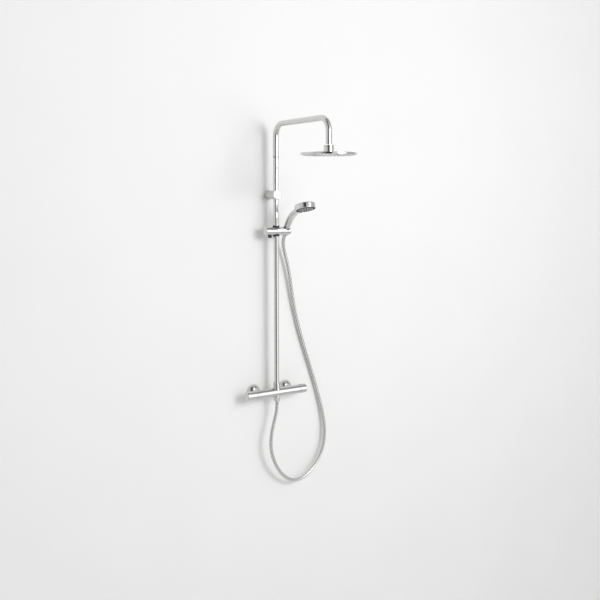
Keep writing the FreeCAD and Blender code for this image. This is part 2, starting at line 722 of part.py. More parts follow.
# ---- rain head -----------------------------------------------------------------------------
def ball_seat_ring():
    """Plastic ring, part of a spherical shell, between the ball and the collar."""
    centre = V(0, HEAD_Y, BALL_Z)
    shell = sphere(SEAT_OUTER, centre).cut(sphere(SEAT_INNER, centre))
    band = disc_z(SEAT_OUTER + 1, BALL_Z + SEAT_LOW * SEAT_OUTER, BALL_Z + SEAT_HIGH * SEAT_OUTER, y=HEAD_Y)
    return shell.common(band)


def ball_joint_nut():
    """Collar that screws onto the head's boss and holds the ball in its socket."""
    low = HEAD_TOP + 0.2
    body = disc_z(COLLAR_R, low, COLLAR_TOP, y=HEAD_Y)
    body = softened(body, COLLAR_EDGE, circle_at(COLLAR_TOP, COLLAR_R))
    thread = disc_z(HEAD_BOSS_R + FIT, low - OVER, HEAD_BOSS_TOP + 0.1, y=HEAD_Y)
    socket = sphere(SOCKET_R, V(0, HEAD_Y, BALL_Z))
    socket = socket.common(disc_z(SOCKET_R + OVER, 0, BALL_Z + SOCKET_HIGH * SOCKET_R, y=HEAD_Y))
    mouth = disc_z(COLLAR_MOUTH, BALL_Z, COLLAR_TOP + OVER, y=HEAD_Y)
    return cut(body, thread, socket, mouth)


def head_top_shell():
    """Pressed dish with the boss that carries the ball socket."""
    low = HEAD_TOP - HEAD_THICK + HEAD_LIP
    dish = softened(disc_z(HEAD_R, low, HEAD_TOP, y=HEAD_Y), HEAD_EDGE, circle_at(HEAD_TOP, HEAD_R))
    chamber = disc_z(HEAD_R - WALL, low - OVER, HEAD_TOP - WALL, y=HEAD_Y)
    boss = disc_z(HEAD_BOSS_R, HEAD_TOP - WALL, HEAD_BOSS_TOP, y=HEAD_Y)
    socket = sphere(SOCKET_R, V(0, HEAD_Y, BALL_Z))
    groove = ring_z(SEAL_OUTER, SEAL_INNER - 0.5, SEAL_LOW, SEAL_LOW + SEAL_T + OVER, y=HEAD_Y)
    bore = disc_z(HEAD_BORE_R, 0, BALL_Z, y=HEAD_Y)
    return cut(fused(cut(dish, chamber), boss), socket, groove, bore)


def head_face_plate():
    low = HEAD_TOP - HEAD_THICK
    plate_r = HEAD_R - WALL - FIT
    plate = disc_z(plate_r, low, low + PLATE_T, y=HEAD_Y)
    plate = softened(plate, PLATE_EDGE, circle_at(low, plate_r))
    holes = [disc_z(NOZZLE_R + FIT, low - OVER, low + PLATE_T + OVER, x, HEAD_Y + y)
             for x, y in rings_of_points(NOZZLE_RINGS, NOZZLE_PITCH)]
    return cut(plate, *holes)


def head_nozzle_mat():
    """Soft mat behind the face plate with one nozzle through each of the plate's holes."""
    low = HEAD_TOP - HEAD_THICK
    mat = disc_z(MAT_R, low + PLATE_T, low + PLATE_T + MAT_T, y=HEAD_Y)
    nozzles = []
    for x, y in rings_of_points(NOZZLE_RINGS, NOZZLE_PITCH):
        tip = V(x, HEAD_Y + y, low - NOZZLE_STAND)
        root = V(x, HEAD_Y + y, low + PLATE_T + 0.1)
        nozzles.append(cone(NOZZLE_TIP_R, NOZZLE_R, tip, root))
    return fused(mat, *nozzles)


def make_rain_head():
    export("ball_seat_ring", ball_seat_ring())
    export("ball_joint_nut", ball_joint_nut())
    export("ball_seal", ring_z(SEAL_OUTER, SEAL_INNER, SEAL_LOW, SEAL_LOW + SEAL_T, y=HEAD_Y))
    export("head_top_shell", head_top_shell())
    export("head_face_plate", head_face_plate())
    export("head_nozzle_mat", head_nozzle_mat())


# ---- wall bracket --------------------------------------------------------------------------
def on_bracket(shape):
    """Takes a shape whose local +Z points out of the wall to the bracket's height."""
    return aimed(shape, X_AXIS, 90, V(0, 0, BRACKET_Z))


def bracket_base():
    """Stub that is screwed to the wall; the barrel slips over it."""
    plate = cylinder(BASE_R, ORIGIN, V(0, 0, BASE_T))
    stub = tube(STUB_R, STUB_BORE_R, V(0, 0, BASE_T), V(0, 0, STUB_END))
    hole = cylinder(BASE_SCREW_R, V(0, 0, -OVER), V(0, 0, BASE_T + OVER))
    return cut(fused(plate, stub), hole)


def bracket_body():
    """Tapered barrel and the ring that the riser passes through."""
    back = -BRACKET_RING_BACK
    front = -BRACKET_RING_FRONT
    barrel = cone(BRACKET_WALL_R, BRACKET_NECK_R, V(0, 0, BRACKET_FOOT), V(0, 0, back))
    ring = cylinder(BRACKET_RING_R, V(0, 0, back - OVER), V(0, 0, front))
    ring = softened(ring, BRACKET_RING_EDGE, circle_at(back - OVER, BRACKET_RING_R))
    rear = cylinder(BASE_R + LOOSE, V(0, 0, -OVER), V(0, 0, BASE_T + 0.3))
    middle = cylinder(STUB_R + 0.1, ORIGIN, V(0, 0, STUB_END + 0.5))
    hollow = cylinder(BRACKET_HOLLOW_R, V(0, 0, STUB_END), V(0, 0, BRACKET_HOLLOW_END))
    peg_end = front - PEG_LENGTH - 0.2
    pegs = [cylinder(PEG_R + FIT, V(x, 0, peg_end), V(x, 0, front + OVER)) for x in (-PEG_X, PEG_X)]
    reach = V(0, TOOL_REACH, 0)
    riser = cylinder(RISER_R + LINER_T + FIT * 2, V(0, 0, WALL_GAP) - reach, V(0, 0, WALL_GAP) + reach)
    grub = cylinder(GRUB_R + FIT, V(0, 0, GRUB_OUT), V(0, -30, GRUB_OUT))
    return cut(fused(barrel, ring), rear, middle, hollow, riser, grub, *pegs)


def bracket_cover():
    """Disc with a rounded rim that snaps onto the ring's front with two pegs."""
    front = -BRACKET_RING_FRONT
    height = front + BRACKET_COVER
    disc = cylinder(BRACKET_RING_R, V(0, 0, front + 0.1), V(0, 0, height))
    disc = softened(disc, BRACKET_COVER_EDGE, circle_at(height, BRACKET_RING_R))
    pegs = [cylinder(PEG_R, V(x, 0, front - PEG_LENGTH), V(x, 0, front + OVER)) for x in (-PEG_X, PEG_X)]
    return fused(disc, *pegs)


def bracket_grub_screw():
    return cylinder(GRUB_R, V(0, -STUB_R - 0.1, GRUB_OUT), V(0, -GRUB_END, GRUB_OUT))


def make_bracket():
    export("bracket_base", on_bracket(bracket_base()))
    export("bracket_body", on_bracket(bracket_body()))
    export("bracket_cover", on_bracket(bracket_cover()))
    export("bracket_grub_screw", on_bracket(bracket_grub_screw()))
    liner = ring_z(RISER_R + LINER_T, RISER_R + FIT / 2, BRACKET_Z - LINER_HALF, BRACKET_Z + LINER_HALF)
    export("bracket_liner", liner)


# ---- slider --------------------------------------------------------------------------------
def slider_liner():
    return ring_z(SLIDER_LINER_R, RISER_R + FIT, SLIDER_Z - LINER_HALF, SLIDER_Z + LINER_HALF)


def slider_bush():
    """Bush around the riser; its ends follow the round bar and stand proud of it."""
    half = SLIDER_R + BUSH_PROUD
    room = LINER_HALF + LOOSE
    sleeve = disc_z(SLIDER_BUSH_R, SLIDER_Z - half, SLIDER_Z + half)
    ends = along_x(half, -TOOL_REACH, TOOL_REACH, AXIS_Y, SLIDER_Z)
    liner_room = disc_z(SLIDER_LINER_R + FIT, SLIDER_Z - room, SLIDER_Z + room)
    hole = disc_z(RISER_R + LOOSE, 0, RISER_TOP)
    return cut(sleeve.common(ends), liner_room, hole)


def slider_body():
    left = SLIDER_LEFT + END_CAP_T
    bar = along_x(SLIDER_R, left, SLIDER_JOINT, AXIS_Y, SLIDER_Z)
    bush_hole = disc_z(SLIDER_BUSH_R + FIT, SLIDER_Z - TOOL_REACH, SLIDER_Z + TOOL_REACH)
    bore = along_x(SLIDER_BORE_R, left - OVER, -SLIDER_BUSH_R, AXIS_Y, SLIDER_Z)
    button_hole = disc_z(BUTTON_R + LOOSE, SLIDER_Z - TOOL_REACH, SLIDER_Z, BUTTON_X)
    pivot_hole = along_x(PIVOT_R + TIGHT, 0, SLIDER_JOINT + OVER, AXIS_Y, SLIDER_Z)
    return cut(bar, bush_hole, bore, button_hole, pivot_hole)


def slider_end_cap():
    disc = cylinder(SLIDER_R, ORIGIN, V(0, 0, END_CAP_T))
    disc = softened(disc, END_CAP_EDGE, circle_at(END_CAP_T, SLIDER_R))
    plug_r = SLIDER_BORE_R - 0.1
    plug = tube(plug_r, plug_r - END_CAP_WALL, V(0, 0, -END_CAP_PLUG), V(0, 0, 0.5))
    return aimed(fused(disc, plug), Y_AXIS, -90, V(SLIDER_LEFT + END_CAP_T, AXIS_Y, SLIDER_Z))


def brake_shoe():
    """Block that presses the split bush onto the riser, with a ramp that the button works on."""
    block = along_x(SHOE_R, BUTTON_X + BUTTON_R + SHOE_GAP, -SLIDER_BUSH_R, AXIS_Y, SLIDER_Z)
    return cut(block, disc_z(SLIDER_BUSH_R + 0.1, SLIDER_Z - TOOL_REACH, SLIDER_Z + TOOL_REACH))


def slider_button():
    button = disc_z(BUTTON_R, BUTTON_BOTTOM, BUTTON_TOP, BUTTON_X)
    return softened(button, BUTTON_EDGE, circle_at(BUTTON_BOTTOM, BUTTON_R))


def slider_button_spring():
    top = SLIDER_Z + SLIDER_BORE_R - OVER
    return ring_z(SLIDER_SPRING_R, SLIDER_SPRING_BORE, BUTTON_TOP + 0.1, top, BUTTON_X)


def make_slider():
    export("slider_liner", slider_liner())
    export("slider_bush", slider_bush())
    export("slider_body", slider_body())
    export("slider_end_cap", slider_end_cap())
    export("brake_shoe", brake_shoe())
    export("slider_button", slider_button())
    export("slider_button_spring", slider_button_spring())
    export("holder_pivot", along_x(PIVOT_R, PIVOT_LEFT, PIVOT_RIGHT, AXIS_Y, SLIDER_Z))


# ---- holder --------------------------------------------------------------------------------
HOLDER_PLACE = V(HOLDER_X, AXIS_Y, SLIDER_Z)


def on_holder(shape):
    """Takes a shape built about the local Z axis to the holder's tilted socket axis."""
    return aimed(shape, X_AXIS, HOLDER_TILT, HOLDER_PLACE)


def hose_slot():
    """Way out of the socket for the hose, through the holder's free end."""
    half = HOSE_SLOT / 2
    return on_holder(box(V(0, -half, -TOOL_REACH), V(TOOL_REACH, half, TOOL_REACH)))


def holder_body():
    left = SLIDER_JOINT + LOOSE
    bar = cylinder(SLIDER_R, ORIGIN, V(0, 0, SLIDER_RIGHT - left))
    bar = softened(bar, HOLDER_EDGE, circle_at(SLIDER_RIGHT - left, SLIDER_R))
    bar = aimed(bar, Y_AXIS, 90, V(left, AXIS_Y, SLIDER_Z))
    socket = on_holder(cylinder(INSERT_R + FIT, V(0, 0, -TOOL_REACH), V(0, 0, TOOL_REACH)))
    pivot_hole = along_x(PIVOT_R + FIT, left - OVER, PIVOT_RIGHT + 0.6, AXIS_Y, SLIDER_Z)
    return cut(bar, socket, hose_slot(), pivot_hole)


def holder_insert():
    """Plastic lining of the socket; its conical bore holds the hose nut."""
    reach = 30.0
    outer = on_holder(cylinder(INSERT_R, V(0, 0, -reach), V(0, 0, reach)))
    outer = outer.common(along_x(SLIDER_R + INSERT_PROUD, SLIDER_JOINT, SLIDER_RIGHT - 0.5, AXIS_Y, SLIDER_Z))
    slope = (CONE_TOP_R - CONE_END_R) / (CONE_TOP - CONE_END)
    middle_r = CONE_END_R - slope * CONE_END + LOOSE
    low_r = middle_r - slope * reach
    high_r = middle_r + slope * reach
    bore = on_holder(cone(low_r, high_r, V(0, 0, -reach), V(0, 0, reach)))
    return cut(outer, bore, hose_slot())


def make_holder():
    export("holder_body", holder_body())
    export("holder_insert", holder_insert())


# ---- hand shower ---------------------------------------------------------------------------
def holder_point(distance):
    """Point on the socket's axis, at this distance above the bar's centre."""
    tilt = math.radians(HOLDER_TILT)
    return V(HOLDER_X, AXIS_Y - distance * math.sin(tilt), SLIDER_Z + distance * math.cos(tilt))


FACE_CENTRE = V(HOLDER_X, -FACE_OUT, FACE_Z)
FACE_SLOPE = math.radians(FACE_TILT)
FACE_BACK = V(0, math.sin(FACE_SLOPE), math.cos(FACE_SLOPE))
FACE_FORWARD = V(0, -math.cos(FACE_SLOPE), math.sin(FACE_SLOPE))


class HandleArc:
    """Circular arc that leaves the socket along its axis and ends inside the shower's head."""

    def __init__(self):
        self.start = holder_point(HANDLE_BASE)
        end = FACE_CENTRE - FACE_FORWARD * ARC_END_BACK + FACE_BACK * ARC_END_UP
        out = self.start.y - end.y
        up = end.z - self.start.z
        self.first = math.radians(HOLDER_TILT)
        self.turn = 2.0 * (math.atan2(out, up) - self.first)
        self.radius = math.hypot(out, up) / (2.0 * math.sin(self.turn / 2.0))

    def direction(self, part):
        angle = self.first + self.turn * part
        return V(0, -math.sin(angle), math.cos(angle))

    def point(self, part):
        angle = self.first + self.turn * part
        out = self.radius * (math.cos(self.first) - math.cos(angle))
        up = self.radius * (math.sin(angle) - math.sin(self.first))
        return self.start + V(0, -out, up)

    def wire(self):
        arc = Part.Arc(self.point(0.0), self.point(0.5), self.point(1.0))
        return Part.Wire([arc.toShape()])


def on_face(shape):
    """Takes a shape whose local origin is the spray face's centre and whose +Z is the head's back."""
    return aimed(shape, X_AXIS, -FACE_TILT, FACE_CENTRE)


def handset_body():
    """Curved handle and round head in one piece, hollow for the water."""
    arc = HandleArc()
    last = len(HANDLE_RADII) - 1
    sections = [Part.Wire(Part.makeCircle(radius, arc.point(k / last), arc.direction(k / last)))
                for k, radius in enumerate(HANDLE_RADII)]
    handle = Part.makeLoft(sections, True)
    head = cylinder(SHOWER_R, ORIGIN, V(0, 0, SHOWER_THICK))
    head = softened(head, SHOWER_TOP_EDGE, circle_at(SHOWER_THICK, SHOWER_R))
    head = softened(head, SHOWER_LOW_EDGE, circle_at(0.0, SHOWER_R))
    recess = cylinder(SPRAY_R + SPRAY_GAP, V(0, 0, -OVER), V(0, 0, SPRAY_POCKET))
    chamber_foot = V(0, 0, SPRAY_POCKET - OVER)
    chamber = cylinder(SPRAY_R - SPRAY_RING_WIDTH, chamber_foot, V(0, 0, SHOWER_THICK - SHOWER_WALL))
    waterway = pipe_along(arc.wire(), HANDLE_WATERWAY_R, arc.start, arc.direction(0.0))
    thread_end = holder_point(HANDLE_BASE + INLET_NIPPLE + 0.5)
    thread = cylinder(G_HALF_R, holder_point(HANDLE_BASE - OVER), thread_end)
    return cut(fused(on_face(head), handle), on_face(recess), on_face(chamber), waterway, thread)


def handset_inlet():
    """Threaded nipple at the end of the handle."""
    foot = holder_point(FERRULE_FLANGE + SEAL_T)
    return tube(G_HALF_R - 0.08, INLET_NIPPLE_BORE, foot, holder_point(HANDLE_BASE + INLET_NIPPLE))


def handset_washer():
    low = holder_point(FERRULE_FLANGE)
    return tube(G_HALF_R - 0.2, INLET_NIPPLE_BORE, low, holder_point(FERRULE_FLANGE + SEAL_T))


def spray_ring():
    """Selector ring around the spray face with finger ribs."""
    ring = tube(SPRAY_R, SPRAY_R - SPRAY_RING_WIDTH, V(0, 0, SPRAY_RING_LOW), V(0, 0, SPRAY_RING_HIGH))
    reach = SPRAY_R + SPRAY_NOTCH_R / 2
    notches = []
    for k in range(SPRAY_NOTCHES):
        angle = 2.0 * math.pi * k / SPRAY_NOTCHES
        foot = V(reach * math.cos(angle), reach * math.sin(angle), 0)
        notches.append(cylinder(SPRAY_NOTCH_R, foot, foot + V(0, 0, SPRAY_NOTCH_HIGH)))
    return on_face(cut(ring, *notches))


def spray_face():
    plate_r = SPRAY_R - SPRAY_RING_WIDTH - FIT
    plate = cylinder(plate_r, V(0, 0, SPRAY_PLATE_LOW), V(0, 0, SPRAY_PLATE_HIGH))
    holes = [cylinder(SPRAY_HOLE_R, V(x, y, 0), V(x, y, SPRAY_POCKET))
             for x, y in rings_of_points(SPRAY_RINGS, SPRAY_PITCH)]
    return on_face(cut(plate, *holes))


def handset_nozzles():
    nozzles = []
    for x, y in rings_of_points(SPRAY_RINGS, SPRAY_PITCH):
        root = V(x, y, SPRAY_PLATE_HIGH - 0.1)
        nozzles.append(cone(SPRAY_TIP_R, SPRAY_NOZZLE_R, V(x, y, -SPRAY_STAND), root))
    return on_face(Part.makeCompound(nozzles))


def make_handset():
    export("handset_body", handset_body())
    export("handset_inlet", handset_inlet())
    export("handset_washer", handset_washer())
    export("spray_ring", spray_ring())
    export("spray_face", spray_face())
    export("handset_nozzles", handset_nozzles())


# ---- hose and its fittings -----------------------------------------------------------------
def hose_cone_nut():
    """Conical nut that sits in the holder's socket and screws onto the hand shower."""
    nut = cone(CONE_END_R, CONE_TOP_R, V(0, 0, CONE_END), V(0, 0, CONE_TOP))
    thread = cylinder(G_HALF_R, V(0, 0, 0.1), V(0, 0, CONE_TOP + OVER))
    hole = cylinder(FERRULE_R + 0.15, V(0, 0, CONE_END - OVER), V(0, 0, OVER))
    return on_holder(cut(nut, thread, hole))


def hose_upper_ferrule():
    barrel = cylinder(FERRULE_R, V(0, 0, CONE_END), V(0, 0, FERRULE_FLANGE))
    flange = cylinder(G_HALF_R - 0.2, V(0, 0, 0.2), V(0, 0, FERRULE_FLANGE))
    bore = cylinder(FERRULE_BORE_R, V(0, 0, CONE_END + 2), V(0, 0, FERRULE_FLANGE + OVER))
    return on_holder(cut(fused(barrel, flange), bore))


def hose_hex_nut():
    """Round nut with gripping flutes that joins the hose to the mixer's lower outlet."""
    high = -TOP_BOSS_Z - 0.3
    low = -TOP_BOSS_Z - NIPPLE_LENGTH - SEAL_T - 5.0
    shoulder = low + 1.8
    nut = disc_z(HOSE_NUT_R, low, high)
    nut = softened(nut, HOSE_NUT_EDGE, circle_at(low, HOSE_NUT_R))
    reach = HOSE_NUT_R + FLUTE_R / 2
    flutes = []
    for k in range(HOSE_NUT_FLUTES):
        angle = 2.0 * math.pi * k / HOSE_NUT_FLUTES
        x = reach * math.cos(angle)
        y = AXIS_Y + reach * math.sin(angle)
        flutes.append(disc_z(FLUTE_R, low + 3.0, high - 2.0, x, y))
    thread = disc_z(G_HALF_R + FIT, shoulder, high + OVER)
    hole = disc_z(LOWER_FERRULE_R + 0.2, low - OVER, high + OVER)
    return cut(nut, thread, hole, *flutes)


def hose_lower_ferrule():
    top = -TOP_BOSS_Z - NIPPLE_LENGTH - SEAL_T
    flange = disc_z(G_HALF_R - 0.2, top - FERRULE_FLANGE, top)
    barrel = cone(HOSE_R, LOWER_FERRULE_R, V(0, AXIS_Y, FERRULE_END), V(0, AXIS_Y, top - 2.0))
    bore = disc_z(FERRULE_BORE_R, FERRULE_END + 2, top + OVER)
    return cut(fused(flange, barrel), bore)


def rounded_route(points):
    """Straight runs joined by tangent arcs, each as large as its two runs allow."""
    edges = []
    radii = []
    here = points[0]
    for k in range(1, len(points) - 1):
        corner = points[k]
        back = points[k - 1] - corner
        ahead = points[k + 1] - corner
        turn = math.pi - back.getAngle(ahead)
        setback = ROUTE_SHARE * min(back.Length, ahead.Length)
        radius = setback / math.tan(turn / 2.0)
        into = corner + back.normalize() * setback
        out = corner + ahead.normalize() * setback
        bisector = (back + ahead).normalize()
        middle = corner + bisector * (radius / math.cos(turn / 2.0) - radius)
        edges.append(Part.LineSegment(here, into).toShape())
        edges.append(Part.Arc(into, middle, out).toShape())
        radii.append(radius)
        here = out
    edges.append(Part.LineSegment(here, points[-1]).toShape())
    return Part.Wire(edges), radii


def hose():
    points = [V(*point) for point in HOSE_ROUTE]
    path, radii = rounded_route(points)
    body = pipe_along(path, HOSE_R, points[0], points[1] - points[0])
    section = math.pi * HOSE_R ** 2
    print("hose length", round(path.Length, 1), "volume over section times length",
          round(body.Volume / (section * path.Length), 5))
    print("hose radii", [round(radius) for radius in radii])
    return body


def make_hose():
    top = -TOP_BOSS_Z - NIPPLE_LENGTH
    export("hose_cone_nut", hose_cone_nut())
    export("hose_upper_ferrule", hose_upper_ferrule())
    export("hose_hex_nut", hose_hex_nut())
    export("hose_washer", ring_z(G_HALF_R - 0.2, SEAL_BORE_R, top - SEAL_T, top))
    export("hose_lower_ferrule", hose_lower_ferrule())
    export("hose", hose())


os.makedirs("parts", exist_ok=True)
make_inlets()
make_mixer()
make_riser()
make_arm()
make_rain_head()
make_bracket()
make_slider()
make_holder()
make_handset()
make_hose()
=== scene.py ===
import json
import math

import bmesh
import bpy
import numpy as np
from mathutils import Matrix, Vector


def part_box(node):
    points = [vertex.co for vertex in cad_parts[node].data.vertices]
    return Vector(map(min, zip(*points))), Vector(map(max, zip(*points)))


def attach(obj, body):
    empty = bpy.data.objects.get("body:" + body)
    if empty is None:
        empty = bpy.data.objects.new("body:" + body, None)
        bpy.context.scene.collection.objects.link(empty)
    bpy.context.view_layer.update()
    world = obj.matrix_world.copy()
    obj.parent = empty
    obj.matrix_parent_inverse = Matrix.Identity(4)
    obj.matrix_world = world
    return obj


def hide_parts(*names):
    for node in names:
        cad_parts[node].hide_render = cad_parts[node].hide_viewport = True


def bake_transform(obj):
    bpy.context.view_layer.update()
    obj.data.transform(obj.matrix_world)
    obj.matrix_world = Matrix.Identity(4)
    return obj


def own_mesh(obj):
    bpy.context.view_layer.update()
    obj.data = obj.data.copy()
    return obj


# Rainfall shower column. The CAD frame gives every place; the pieces made here stand for the CAD
# nodes whose surface deserves more detail. Local shapes are written in millimetres.

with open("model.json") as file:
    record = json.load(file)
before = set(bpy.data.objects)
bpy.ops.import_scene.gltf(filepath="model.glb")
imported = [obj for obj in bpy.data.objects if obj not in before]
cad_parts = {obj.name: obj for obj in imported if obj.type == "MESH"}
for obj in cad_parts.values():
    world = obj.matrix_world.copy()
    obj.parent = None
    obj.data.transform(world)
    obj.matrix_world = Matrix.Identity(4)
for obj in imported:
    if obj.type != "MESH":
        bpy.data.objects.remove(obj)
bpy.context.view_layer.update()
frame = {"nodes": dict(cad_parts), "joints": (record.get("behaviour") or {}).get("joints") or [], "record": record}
NODES = frame["nodes"]
JOINTS = {joint["name"]: joint for joint in frame["joints"]}
NODE_SLOTS = {part["node"]: part["material_slot"] for part in frame["record"]["subparts"]}

MM = 0.001

# ---- camera, lights and surroundings ----
CAMERA_PLACE = (-1.6103, -2.7794, 0.7975)
CAMERA_PITCH = 7.635       # degrees below the horizon
CAMERA_YAW = 32.33         # degrees from +Y towards +X
CAMERA_LENS = 48.26
CAMERA_SENSOR = 36.0
KEY_PLACE = (0.6, -3.0, 1.3)
KEY_TARGET = (0.0, 0.0, 0.35)
KEY_SIZE = 1.0
KEY_WATTS = 35.0
WALL_Y = 0.0005            # just behind the wall roses
FLOOR_Z = -2.0
ROOM = 6.0                 # half size of the wall and the floor
WALL_COLOUR = (0.90, 0.90, 0.897)
FLOOR_COLOUR = (0.93, 0.93, 0.93)
# Brightness of the room by azimuth, in degrees from straight ahead of the column towards +X.
ROOM_BY_AZIMUTH = (
    (-180, 0.62), (-95, 0.66), (-70, 0.70), (-57, 0.36), (-46, 0.16), (-40, 0.03), (-24, 0.03), (-18, 0.82),
    (6, 0.86), (17, 1.55), (36, 1.55), (44, 0.66), (62, 0.52), (95, 0.55), (180, 0.62),
)
# The same by elevation, from straight down to straight up, as a factor.
ROOM_BY_ELEVATION = (
    (-90, 1.14), (-30, 1.14), (-8, 1.11), (6, 1.09), (26, 1.13), (40, 0.78), (60, 0.61), (90, 0.61),
)

# ---- sizes of the pieces, in millimetres ----
EDGE = 0.4                 # rounding of an ordinary broken edge
STEPS = 96                 # segments round a turned piece
CORNER_STEPS = 8           # runs in one rounded profile corner
RISER_R = 10.0
RISER_BORE = 8.8
RISER_COLLAR_R = 10.98
RISER_COLLAR = 2.0
ARM_R = 11.0
ARM_BORE = 10.15
ARM_BEND = 50.0
BEND_STEPS = 48
MIXER_R = 18.0
INLET_X = 75.0             # half the spacing of the two inlets
HEAD_R = 100.0
NOZZLE_RINGS = 7
NOZZLE_PITCH = 12.6
SPRAY_RINGS = 4
SPRAY_PITCH = 6.6
BALL_Z = 948.0
SOCKET_R = 12.9
HEAD_TOP = 934.0
HEAD_PLUG_Z = 965.0
HOLDER_TILT = 30.0         # degrees of the holder's bore from upright, and of the spray face from level
FACE_TILT = 17.5
HANDLE_RADII = (12.4, 13.4, 13.6, 13.2, 12.2, 10.6)
HANDLE_BASE = 19.0         # from the holder's middle to the handle's foot
HANDLE_END = (-34.0, 11.0)      # where the handle's arc ends, forward of and behind the face's centre
HANDLE_THREAD_R = 10.6
HANDLE_THREAD = 7.0        # how deep the hose's end goes into the handle
SHOWER_R = 40.0
SHOWER_THICK = 22.0
SHOWER_EDGES = (1.8, 5.0)       # rounding of the head's lower and upper edge
SPRAY_POCKET_R = 36.9
SPRAY_POCKET = 6.0
BLEND_R = 9.0              # softness of the neck between the handle and the head
GRID = 0.9                 # spacing of the grid that the hand shower's surface is found on
GRID_MARGIN = 3.0 * GRID
GRADIENT_STEP = 0.02
PULLS = 4                  # how often the grid's points are pulled on to the surface

# ---- hose, in metres ----
HOSE_ROUTE = (
    (0.0, -0.060, -0.052), (0.0, -0.060, -0.077), (-0.013, -0.061, -0.119), (-0.028, -0.062, -0.173),
    (-0.030, -0.061, -0.230), (-0.013, -0.058, -0.289), (0.022, -0.052, -0.345), (0.066, -0.045, -0.384),
    (0.119, -0.039, -0.397), (0.174, -0.034, -0.377), (0.223, -0.029, -0.330), (0.255, -0.024, -0.268),
    (0.262, -0.020, -0.196), (0.250, -0.015, -0.118), (0.228, -0.011, -0.036), (0.201, -0.010, 0.048),
    (0.165, -0.011, 0.150), (0.131, -0.012, 0.254), (0.107, -0.015, 0.350), (0.092, -0.019, 0.432),
    (0.076, -0.023, 0.506), (0.056, -0.025, 0.571), (0.045, -0.035, 0.6037), (0.045, -0.050, 0.6296),
)
HOSE_DIAMETER = 0.014
HOSE_STEPS = 40
HOSE_RING = 0.0018         # distance between the tube's rings
HOSE_RIBS = 4              # ribs side by side, and how far each climbs in one turn
HOSE_LEAD = 0.068
HOSE_GROOVE = 0.0004
HOSE_NAMES = ("hose_run", "hose_rise", "hose_bend", "hose_end")
HOSE_CUTS = (1.30, 1.425, 1.485)    # distances along it at which one piece ends and the next begins
HOSE_JOIN = 0.005          # length of the short way along the hose past a cut
SPLINE_STEPS = 48          # points read from each run of the spline


# ---- meshes ----
def fillet(before, corner, after, radius):
    """Arc of short runs in place of a profile's corner."""
    a = (Vector(before) - Vector(corner)).normalized()
    b = (Vector(after) - Vector(corner)).normalized()
    half = a.angle(b) / 2.0
    reach = radius / math.tan(half)
    centre = Vector(corner) + (a + b).normalized() * (radius / math.sin(half))
    start = Vector(corner) + a * reach - centre
    end = Vector(corner) + b * reach - centre
    turn = start.angle_signed(end)
    points = []
    for k in range(CORNER_STEPS + 1):
        angle = -turn * k / CORNER_STEPS
        cosine = math.cos(angle)
        sine = math.sin(angle)
        points.append((centre.x + start.x * cosine - start.y * sine,
                       centre.y + start.x * sine + start.y * cosine))
    return points


def profile(*corners):
    """Profile through (radius, height) corners; a third number rounds that corner."""
    points = []
    count = len(corners)
    for k, corner in enumerate(corners):
        if len(corner) == 2:
            points.append(corner)
            continue
        before = corners[(k - 1) % count][:2]
        after = corners[(k + 1) % count][:2]
        points.extend(fillet(before, corner[:2], after, corner[2]))
    return points


def arc_points(centre_height, radius, start, end, steps=10):
    """Points (radius, height) on a sphere's outline between two heights, ends included."""
    first = math.asin((start - centre_height) / radius)
    last = math.asin((end - centre_height) / radius)
    points = []
    for k in range(steps + 1):
        angle = first + (last - first) * k / steps
        points.append((radius * math.cos(angle), centre_height + radius * math.sin(angle)))
    return points


def skin(rings):
    """Faces between rings of vertex numbers, each ring joined to the next; a pole makes triangles."""
    faces = []
    for low, high in zip(rings, rings[1:]):
        for k in range(len(low)):
            after = (k + 1) % len(low)
            corners = [low[k], low[after], high[after], high[k]]
            face = [v for i, v in enumerate(corners) if v not in corners[:i]]
            if len(face) > 2:
                faces.append(face)
    return faces


def turned(points, steps=STEPS, outline=None):
    """Vertices and faces of a profile turned about local Z, from the axis to the axis or else closed.
    outline(angle, radius) may bend the circle into another shape, such as a hexagon."""
    vertices = []
    rings = []
    for radius, height in points:
        if radius == 0.0:
            rings.append([len(vertices)] * steps)
            vertices.append((0.0, 0.0, height))
            continue
        first = len(vertices)
        rings.append(list(range(first, first + steps)))
        for k in range(steps):
            angle = 2.0 * math.pi * k / steps
            reach = outline(angle, radius) if outline else radius
            vertices.append((reach * math.cos(angle), reach * math.sin(angle), height))
    if points[0][0] > 0.0:
        rings.append(rings[0])
    return vertices, skin(rings)


def groove(radius, height, depth, width=1.2, slope=0.3):
    """Corners of a fine groove in a turned side, from a height upwards."""
    floor = radius - depth
    top = height + width
    return [(radius, height), (floor, height + slope), (floor, top - slope), (radius, top)]


def hexagon_reach(angle, flat):
    """Distance from the centre to a hexagon's side, whose half width across the flats is flat."""
    within = (angle + math.pi / 6.0) % (math.pi / 3.0) - math.pi / 6.0
    return flat / math.cos(within)


def joined(parts):
    """One list of vertices and faces from several."""
    vertices = []
    faces = []
    for part_vertices, part_faces in parts:
        first = len(vertices)
        vertices.extend(part_vertices)
        faces.extend([[first + v for v in face] for face in part_faces])
    return vertices, faces


def moved(part, matrix):
    """The same part with its vertices put through a matrix."""
    vertices, faces = part
    return [tuple(matrix @ Vector(v)) for v in vertices], faces


def circle(centre, right, up, radius, steps):
    """Points of a circle, from its right round through its top."""
    angles = [2.0 * math.pi * k / steps for k in range(steps)]
    return [tuple(centre + right * (radius * math.cos(a)) + up * (radius * math.sin(a))) for a in angles]


def swept(centres, directions, across, radii, steps=64):
    """Skin over circles along a path in the plane across a direction; the last joins the first."""
    vertices = []
    for centre, direction, radius in zip(centres, directions, radii):
        vertices += circle(centre, across, direction.cross(across).normalized(), radius, steps)
    rings = np.arange(len(vertices)).reshape(-1, steps).tolist()
    return vertices, skin(rings + rings[:1])


